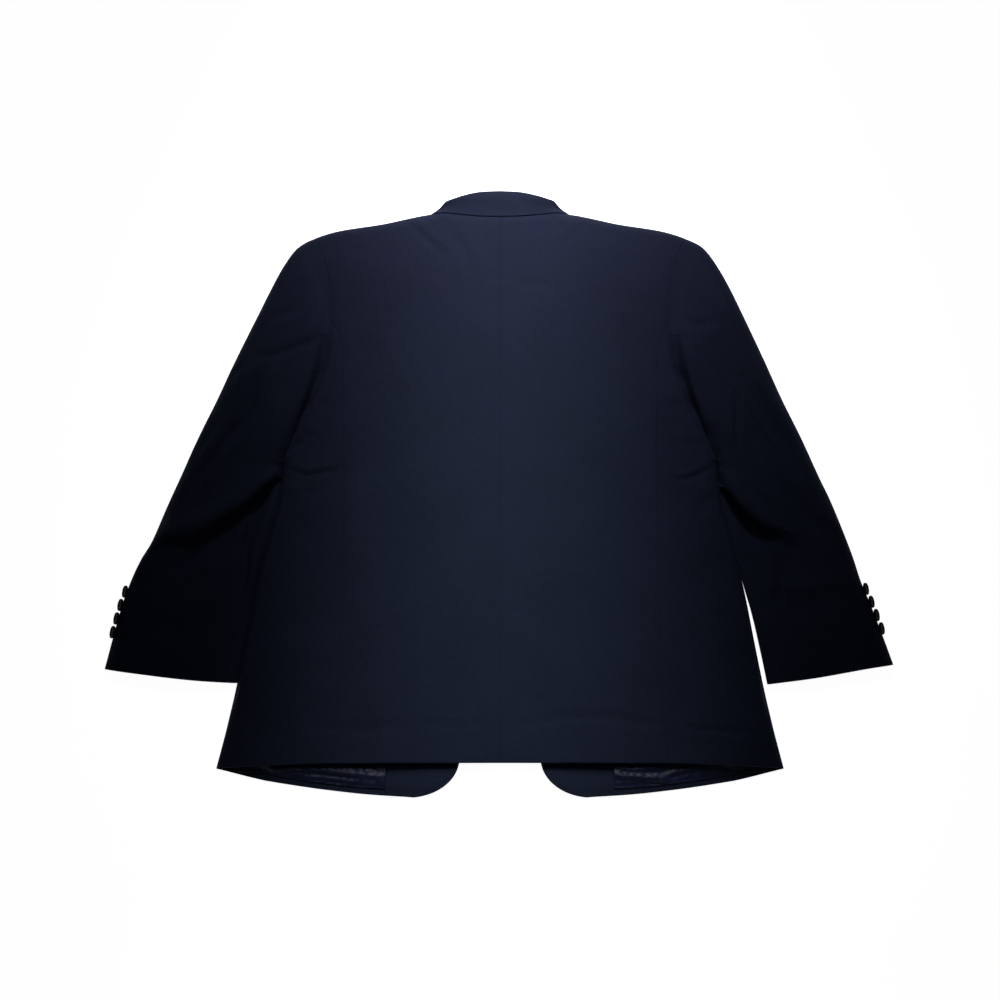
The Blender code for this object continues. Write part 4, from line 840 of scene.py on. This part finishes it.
leftSleeve = {
    "side": -1, "name": "left",
    "outer": ((260.05, 382.5), (272, 375.5), (281.5, 366.5), (289.5, 354), (304.5, 321), (327.5, 256),
              (348.5, 194), (366.5, 135), (385, 78), (400.5, 23), (411.5, -16), (422.5, -57), (433, -81),
              (440.5, -106), (446.5, -135), (454.5, -209)),
    "inner": ((273.55, 46), (273.7, 41.5), (273.9, 33), (274.7, 0), (283.3, -60), (291.3, -120),
              (296.3, -180), (300.2, -224.5)),
    "cuff": ((454.5, -209), (430, -212.5), (345, -222), (300.2, -224.5)),
    "foldAt": 0.752, "foldBow": 0.012,
    "foldSize": ((0, 0), (0.05, 0.1), (0.12, 0.4), (0.28, 0.85), (0.4, 1), (0.58, 1), (0.74, 0.95),
                 (0.88, 0.8), (1, 0.6)),
    "creases": [
        # the long edge from the back of the arm down to the fold, dark on its outer side
        crease(7, 4.6, (-304, 180), (-317, 146), (-324, 106), (-341, 78), (-356, 54), (-371, 28),
               (-387, -10), ridge=0.6, lean=1, taper=0.5),
        crease(6.5, 1.9, (-318, 186), (-304.3, 189.2), (-276.4, 199.7), (-248, 212), (-228, 222),
               ridge=0.45, taper=0.6),
        crease(6.5, 1.3, (-262, 272), (-284, 254), (-312, 246)),
        crease(6, 1.8, (-328, 178), (-342, 170), (-350, 150)),
        crease(12, -1.6, (-292, 150), (-286, 104), (-296, 60), ridge=0.3),
        crease(7, 1.6, (-352, 120), (-366, 80), (-386, 34)),
        # below the fold
        crease(6, -3, (-276, 18), (-283, -16), (-291, -70), (-299, -136), ridge=0.3, taper=0.4),
        crease(6, 6, (-290, 4), (-302, -28), (-309, -62), (-306, -98), (-310, -130), ridge=0.35),
        crease(8, 4.2, (-366, -60), (-378, -84), (-396, -96)),
        crease(8, -1.8, (-336, -74), (-352, -92), (-364, -96), ridge=0.4),
        crease(11, 3.4, (-352, -158), (-374, -166), (-402, -156), ridge=0.3),
        crease(8, 2.4, (-324, -120), (-334, -150), (-330, -186)),
        crease(8, 2.6, (-424, -92), (-410, -124), (-414, -164)),
    ],
}
rightSleeve = {
    "side": 1, "name": "right",
    "outer": ((260.05, 382.5), (272, 375.5), (282.5, 366.5), (291, 354), (306.5, 321), (329, 256),
              (348.5, 194), (365.5, 135), (384.5, 78), (400, 23), (408.5, -4), (421, -55), (426.5, -80),
              (431, -106), (437.5, -131), (453, -204)),
    "inner": ((273.55, 46), (273.7, 41.5), (273.9, 33), (274.7, 0), (283.3, -60), (290, -105),
              (297.4, -148), (303, -199), (305.5, -226.5)),
    "cuff": ((453, -204), (430, -207.5), (360, -219.5), (305.5, -226.5)),
    "foldAt": 0.772, "foldBow": 0.045,
    "foldSize": ((0, 0), (0.30, 0), (0.40, 0.2), (0.50, 0.5), (0.62, 0.8), (0.74, 0.96), (0.86, 1),
                 (1, 0.8)),
    "creases": [
        # below the tip of the fold, then a soft fold across above the cuff
        crease(7, 4.6, (341, -72), (338, -90), (335, -110), (332, -136), ridge=0.4, taper=0.8),
        crease(9, -3.4, (316, -108), (350, -117), (384, -110), (414, -104), ridge=0.1, taper=0.7),
        crease(8, 1.5, (330, -138), (352, -142), (380, -134), ridge=0.3),
        # the line down the back of the arm, and the darker outer side
        crease(4, 1.6, (308, 156), (303, 116), (298, 76), (294.8, 48), ridge=0.7),
        crease(8.5, 4.2, (314, 168), (333, 132), (349, 92), (363, 52), (369, 18), ridge=0.5, lean=-1,
               taper=0.6),
        crease(12, -1.6, (268, 150), (270, 110), (282, 74), ridge=0.3),
        crease(6.5, 1.2, (240, 250), (262, 236), (290, 240)),
        crease(8, 1.8, (352, 12), (374, -28), (404, -52)),
        crease(6.5, -1.8, (284, -14), (290, -44), (298, -78), ridge=0.3),
        crease(6, 0.7, (350, -180), (376, -192), (402, -190)),
    ],
}
innerRows = ((0, 46), (0.3, 43.5), (0.6, 40.5), (0.74, 35), (0.78, 24), (0.82, 0),
             (0.87, -72), (0.93, -149), (1, -226))
sleeveRise = (                 # share of the length, then height at the outer edge, middle, inner edge
    (0, 31, 24, 13), (0.06, 32.5, 28.5, 17), (0.25, 28, 25.5, 17), (0.5, 22.5, 22.5, 17),
    (0.72, 18.5, 21, 17.5), (0.80, 15.5, 17, 14), (0.90, 13.5, 13.5, 10), (1, 11.5, 11.8, 9.5))
foldTable = np.array([         # share past the fold, how far the cloth runs ahead, how high it stands
    (-0.150, 0, 0), (-0.120, 0, 0.2), (-0.090, 0.3, 0.7), (-0.050, 2, 3), (-0.022, 8, 6.8),
    (-0.006, 14, 8.4), (0.000, 18.5, 7.4), (0.004, 20.5, 4.6), (0.008, 18, 2.2), (0.012, 11, 1),
    (0.016, 2.5, 0), (0.020, -3, -2.8), (0.025, -3, -6.2), (0.032, 1, -8.2), (0.052, 2, -8.2),
    (0.090, 0.6, -4.6), (0.120, 0, -1.6), (0.150, 0, 0)])
sleeveShape = {
    "length": 620, "cloth": 1.8, "rollTop": 17, "rollUnder": 9, "ridge": 0.43, "puffShare": 0.05,
    "puffRows": 16, "upperRows": 74, "foldRows": 116, "cuffRows": 14, "puffEnd": 0.08,
    "elbowSeamY": 222, "elbowAtCuff": 0.075, "inseamY": 150, "inseamAtCuff": 0.86,
    "widthRow": 60,            # the row whose width gives the weave its places across
}


def sleevePlan(sleeve, share, across):
    outer = alongCurve(sleeve["outer"], share)
    innerPoints = np.array(sleeve["inner"])
    innerY = np.clip(tableAt(innerRows, share), innerPoints[-1, 1], innerPoints[0, 1])
    inner = np.stack([smooth(innerY, innerPoints[:, 1], innerPoints[:, 0]), innerY], axis=-1)
    startY = shoulderPointY - across * (shoulderPointY - underarmY)
    start = np.stack([armholeX(startY) + seamGap, startY], axis=-1)
    end = alongCurve(sleeve["cuff"], across)
    ends = [np.array([float(armholeX(y)) + seamGap, y]) for y in (shoulderPointY, underarmY)]
    s, a = share[..., None], across[..., None]
    corners = ((1 - s) * (1 - a) * ends[0] + (1 - s) * a * ends[1]
               + s * (1 - a) * np.array(sleeve["cuff"][0]) + s * a * np.array(sleeve["cuff"][-1]))
    return (1 - s) * start + s * end + (1 - a) * outer + a * inner - corners


def sleeveLevel(share, across):
    outer, middle, inner = (tableAt(sleeveRise, share, k) for k in (1, 2, 3))
    first = outer + (middle - outer) * ease(across / 0.5)
    second = middle + (inner - middle) * ease((across - 0.5) / 0.5)
    return np.where(across < 0.5, first, second)


def sleeveGrid(sleeve, share, across, upper, edgeZ, ahead, stands):
    window = np.sin(math.pi * np.clip((share - 0.45) / 0.55, 0, 1)) ** 2
    bent = share + sleeve["foldBow"] * 4 * across * (1 - across) * window
    none, full = np.zeros_like(bent), np.ones_like(bent)
    width = np.linalg.norm(sleevePlan(sleeve, bent, full) - sleevePlan(sleeve, bent, none), axis=-1)
    plan = sleevePlan(sleeve, bent, across)
    ridgeOuter = sleeveShape["ridge"] * sleeveLevel(bent, none)
    ridge = ridgeOuter + (bodyShape["sideFoldZ"] - ridgeOuter) * across
    roll = np.minimum(np.where(upper, sleeveShape["rollTop"], sleeveShape["rollUnder"]), 0.3 * width)
    rounded = arch(across * width / roll) * arch((1 - across) * width / roll)
    settled = ease(share / sleeveShape["puffShare"])
    size = smooth(across, *zip(*sleeve["foldSize"]))
    step = sleevePlan(sleeve, np.minimum(bent + 0.02, 1), across) - sleevePlan(sleeve, bent - 0.02, across)
    step /= np.linalg.norm(step, axis=-1, keepdims=True)
    advance = np.where(upper, size ** 3 * ahead, 0)
    plan = plan + advance[..., None] * step
    side = sleeve["side"]
    x, y = plan[..., 0], plan[..., 1]
    relief = creaseHeight(x * side, y, sleeve["creases"]) + waves(x, y, 40 + side, 120, 1.5)
    relief += waves(x, y, 44 + side, 45, 0.5)
    relief += seamValley(x, y)
    top = ridge + (sleeveLevel(bent, across) + relief - ridge) * rounded + size * stands * rounded
    under = ridge * (1 - rounded)
    z = np.where(upper, top, under)
    z = edgeZ + (z - edgeZ) * settled
    return np.concatenate([plan, z[..., None]], axis=-1)


def closerColumns(reach, seams):       # columns crowd at a seam as they do at a free edge
    places = list(reach)
    for seam in seams:
        for step in edgeSteps[1:-1]:
            for place in (seam - step, seam + step):
                if min(abs(place - other) for other in places) > 0.07:
                    places.append(place)
    return np.sort(places)


def makeSleeve(sleeve, back, side, upperCount, front):
    # the ring runs from the shoulder down the back's edge, round the underarm, up the front
    backEdge = back[:, -1][::-1]
    backEdge = backEdge[backEdge[:, 1] >= bodyShape["backSeamTopY"]]
    sideEdge = side[-1]
    frontEdge = front[:, -1]
    frontEdge = frontEdge[frontEdge[:, 1] > bodyShape["frontSeamTopY"] + 1]
    ring = np.concatenate([backEdge[1:], sideEdge, frontEdge])
    fold = len(backEdge) - 1 + upperCount
    reach = np.concatenate([[0], np.cumsum(np.linalg.norm(np.diff(ring, axis=0), axis=1))])
    elbow = int(np.argmin(np.abs(ring[:fold, 1] - sleeveShape["elbowSeamY"])))
    inseam = fold + int(np.argmin(np.abs(ring[fold:, 1] - sleeveShape["inseamY"])))
    places = closerColumns(reach, reach[[elbow, inseam]])
    upper = places < reach[fold] - 1e-6
    elbow, inseam = (int(np.argmin(np.abs(places - reach[k]))) for k in (elbow, inseam))
    ring = np.stack([np.interp(places, reach, ring[:, k]) for k in range(3)], axis=-1)
    starts = np.clip((shoulderPointY - ring[:, 1]) / (shoulderPointY - underarmY), 0, 1)
    # rows: even, closer at the armhole and the cuff, and many through the fold
    shape, foldAt = sleeveShape, sleeve["foldAt"]
    puff = np.linspace(0, 1, shape["puffRows"]) ** 1.4 * shape["puffEnd"]
    lowEnd, highEnd = foldAt + foldTable[0, 0], foldAt + foldTable[-1, 0]
    before = np.linspace(shape["puffEnd"], lowEnd, shape["upperRows"])[1:-1]
    places = np.linspace(0, len(foldTable) - 1, shape["foldRows"])
    through = np.array([rowAt(foldTable, place) for place in places])
    through[:, 0] = np.maximum.accumulate(through[:, 0])
    cuff = crowded(shape["length"] * (1 - highEnd), shape["cuffRows"])[len(edgeSteps) - 1:]
    after = highEnd + (1 - highEnd) * cuff
    shares = np.concatenate([puff, before, foldAt + through[:, 0], after[1:]])
    ahead, stands = np.zeros_like(shares), np.zeros_like(shares)
    first = len(puff) + len(before)
    ahead[first:first + len(through)], stands[first:first + len(through)] = through[:, 1:].T
    share = np.broadcast_to(shares[:, None], (len(shares), len(ring)))

    def wandering(seam, atCuff):
        now = starts[seam] + (atCuff - starts[seam]) * share
        low = starts * now / starts[seam]
        high = 1 - (1 - starts) * (1 - now) / (1 - starts[seam])
        return np.where(starts < starts[seam], low, high)

    across = np.where(upper, wandering(elbow, shape["elbowAtCuff"]),
                      wandering(inseam, shape["inseamAtCuff"]))
    face = sleeveGrid(sleeve, share, across, upper[None, :], ring[:, 2][None, :],
                      ahead[:, None], stands[:, None])
    closed = np.concatenate([face[:, -2:], face, face[:, :2]], axis=1)
    behind = face - shape["cloth"] * normalsOf(closed)[:, 2:-2]
    name = sleeve["name"]
    parts = (("under", np.arange(elbow, inseam + 1), [f"sleeve_top_{name}"]),
             ("top", np.concatenate([np.arange(inseam, len(ring)), np.arange(0, elbow + 1)]), []))
    for part, columns, on in parts:
        grid = parted(face[:, columns])
        middle = grid[shape["widthRow"]]
        across = np.cumsum(np.linalg.norm(np.diff(middle, axis=0, prepend=middle[:1]), axis=1))
        cut = np.stack(np.broadcast_arrays(across[None, :], shares[:, None] * shape["length"]), axis=-1)
        sewPiece(f"sleeve_{part}_{name}", grid, sleeve["side"], shape["cloth"], "sewn free sewn sewn",
                 cut=cut, behind=behind[:, columns])


def parted(grid):              # the seam's two edges stand a hair apart
    grid = grid.copy()
    for edge, inside in ((0, 1), (-1, -2)):
        way = grid[:, inside] - grid[:, edge]
        length = np.maximum(np.linalg.norm(way, axis=1, keepdims=True), 1e-6)
        grid[:, edge] += way / length * np.minimum(seamGap / 2, length * 0.4)
    return grid


# buttons

buttonSizes = {
    "front": {"diameter": 20, "thickness": 3, "rim": 1.6, "holes": 3, "holeSize": 1},
    "cuff": {"diameter": 14.5, "thickness": 2.8, "rim": 1.3, "holes": 2.3, "holeSize": 0.8},
}
buttonSides = 64


def makeButton(node, size, up):
    radius, half = size["diameter"] / 2, size["thickness"] / 2
    profile = [(0, -half), (radius * 0.55, -half), (radius * 0.86, -half), (radius * 0.96, -half * 0.7),
               (radius, 0), (radius * 0.985, half * 0.55), (radius * 0.95, half * 0.88),
               (radius * 0.91, half), (radius - size["rim"], half * 0.96)]
    dish = np.linspace(radius - size["rim"] * 1.35, 0, 26)
    profile += [(float(r), half * (0.25 + 0.35 * (r / radius) ** 2)) for r in dish]
    shape = bmesh.new()
    rings = []
    for r, z in profile:
        if r == 0:
            rings.append([shape.verts.new((0, 0, z))])
            continue
        ring = []
        for k in range(buttonSides):
            turn = math.tau * k / buttonSides
            x, y = r * math.cos(turn), r * math.sin(turn)
            depth = 0
            if z > 0 and r < radius * 0.6:      # four holes, sunk in the dish
                hole = size["holes"] / 2
                away = math.hypot(abs(x) - hole, abs(y) - hole)
                inside = (away - size["holeSize"] * 0.55) / (size["holeSize"] * 0.45)
                depth = half * 1.2 * float(1 - ease(np.array(inside)))
            ring.append(shape.verts.new((x, y, z - depth)))
        rings.append(ring)
    for low, high in zip(rings, rings[1:]):
        for k in range(buttonSides):
            after = (k + 1) % buttonSides
            corners = [ring[place % len(ring)] for ring, place in
                       ((low, k), (low, after), (high, after), (high, k))]
            shape.faces.new(list(dict.fromkeys(corners)))
    bmesh.ops.recalc_face_normals(shape, faces=shape.faces)
    name = f"{node}_horn"
    mesh = bpy.data.meshes.new(name)
    shape.to_mesh(mesh)
    shape.free()
    up = np.array(up, float) / np.linalg.norm(up)
    beside = np.cross(up, (0, 1, 0))
    beside /= np.linalg.norm(beside)
    axes = np.stack([beside, np.cross(up, beside), up])
    points = np.empty(len(mesh.vertices) * 3)
    mesh.vertices.foreach_get("co", points)
    points = toMetres(points.reshape(-1, 3) @ axes + centreOf(node))
    mesh.vertices.foreach_set("co", points.ravel())
    mesh.shade_smooth()
    mesh.set_sharp_from_angle(angle=math.radians(45))
    addPiece(name, mesh, node, "button_resin")


def centreOf(node):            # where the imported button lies, back in millimetres
    low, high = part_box(node)
    middle = (np.array(low) + np.array(high)) / 2 * 1000
    return middle + (0, middleY, 0)


for side, name, sleeve in ((-1, "left", leftSleeve), (1, "right", rightSleeve)):
    back = makeBack(side, name)
    sideBody, upperCount = makeSide(side, name)
    front = makeFront(side, name)
    makeFacing(side, name)
    makeLining(side, name)
    makeLapel(side, name)
    makeSleeve(sleeve, back, sideBody, upperCount, front)
    print(f"{name} half sewn")
makeCollar()
for side, name in ((-1, "left"), (1, "right")):
    for k in (1, 2, 3, 4):
        makeButton(f"cuff_button_{name}_{k}", buttonSizes["cuff"], (0.74 * side, -0.05, 0.67))
for k in (1, 2):
    makeButton(f"front_button_{k}", buttonSizes["front"], (0, 0.001, -1))
print("collar and buttons on")


# stage, light and camera

stageLook = {"size": 8, "below": 0.0006, "floor": "#f2f2f2", "grain": "#f6f6f6",
             "glow": 0.95, "world": 0.045}
lights = {                     # place, target and size in metres, power in watts, spread in degrees
    "upperStrip": {"place": (0.03, 1.32, 1.07), "target": (0.03, 0.48, 0), "size": (0.10, 0.46),
                   "power": 1.75, "spread": 42, "tint": "#fbf4ff"},
    "lowerStrip": {"place": (0, 0.575, 1), "target": (0, -0.28, 0), "size": (0.10, 0.61),
                   "power": 0.56, "spread": 27.5, "tint": "#ffffff"},
    "collarSpot": {"place": (0, 1.1, 0.75), "target": (0, 0.43, 0), "size": (0.3, 0.1),
                   "power": 0.40, "spread": 32, "tint": "#f8ecff"},
}
# the camera: lens and sensor in mm, its place in metres, its tilt in degrees from straight down
cameraLook = {"lens": 27.04, "sensor": 36, "near": 0.01, "place": (0, -0.3818, 0.8833), "tilt": 20}


def paintedBoard():            # matt white paint, a plain pale ground
    made, tree, shader = newMaterial("paintedBoardWhite")
    grain = addNode(tree, "ShaderNodeTexNoise", {"Scale": 3, "Detail": 2}).outputs["Fac"]
    feed(tree, shader, {
        "Base Color": blend(tree, grain, linear(stageLook["floor"]), stageLook["grain"]),
        "Roughness": 0.95, "Emission Color": (1, 1, 1, 1), "Emission Strength": stageLook["glow"]})
    return made


bpy.ops.mesh.primitive_plane_add(size=stageLook["size"], location=(0, 0, -stageLook["below"]))
floor = bpy.context.object
floor.name = "floor"
floor.data.materials.append(paintedBoard())
world = bpy.data.worlds.new("studio")
world.use_nodes = True
feed(world.node_tree, world.node_tree.nodes["Background"], {0: (1, 1, 1, 1), 1: stageLook["world"]})
bpy.context.scene.world = world

for name, light in lights.items():
    data = bpy.data.lights.new(name, "AREA")
    data.shape = "RECTANGLE"
    data.size, data.size_y = light["size"]
    data.energy = light["power"]
    data.spread = math.radians(light["spread"])
    data.color = linear(light["tint"])[:3]
    way = np.array(light["target"]) - np.array(light["place"])
    tilt, spin = math.acos(-way[2] / np.linalg.norm(way)), math.atan2(way[1], way[0])
    placed(name, data, light["place"], (tilt, 0, spin - math.pi / 2))

data = bpy.data.cameras.new("camera")
data.lens, data.sensor_width, data.clip_start = cameraLook["lens"], cameraLook["sensor"], cameraLook["near"]
lean = (math.radians(cameraLook["tilt"]), 0, 0)
bpy.context.scene.camera = placed("camera", data, cameraLook["place"], lean)
bpy.context.scene.view_settings.view_transform = "Standard"
print("stage set")
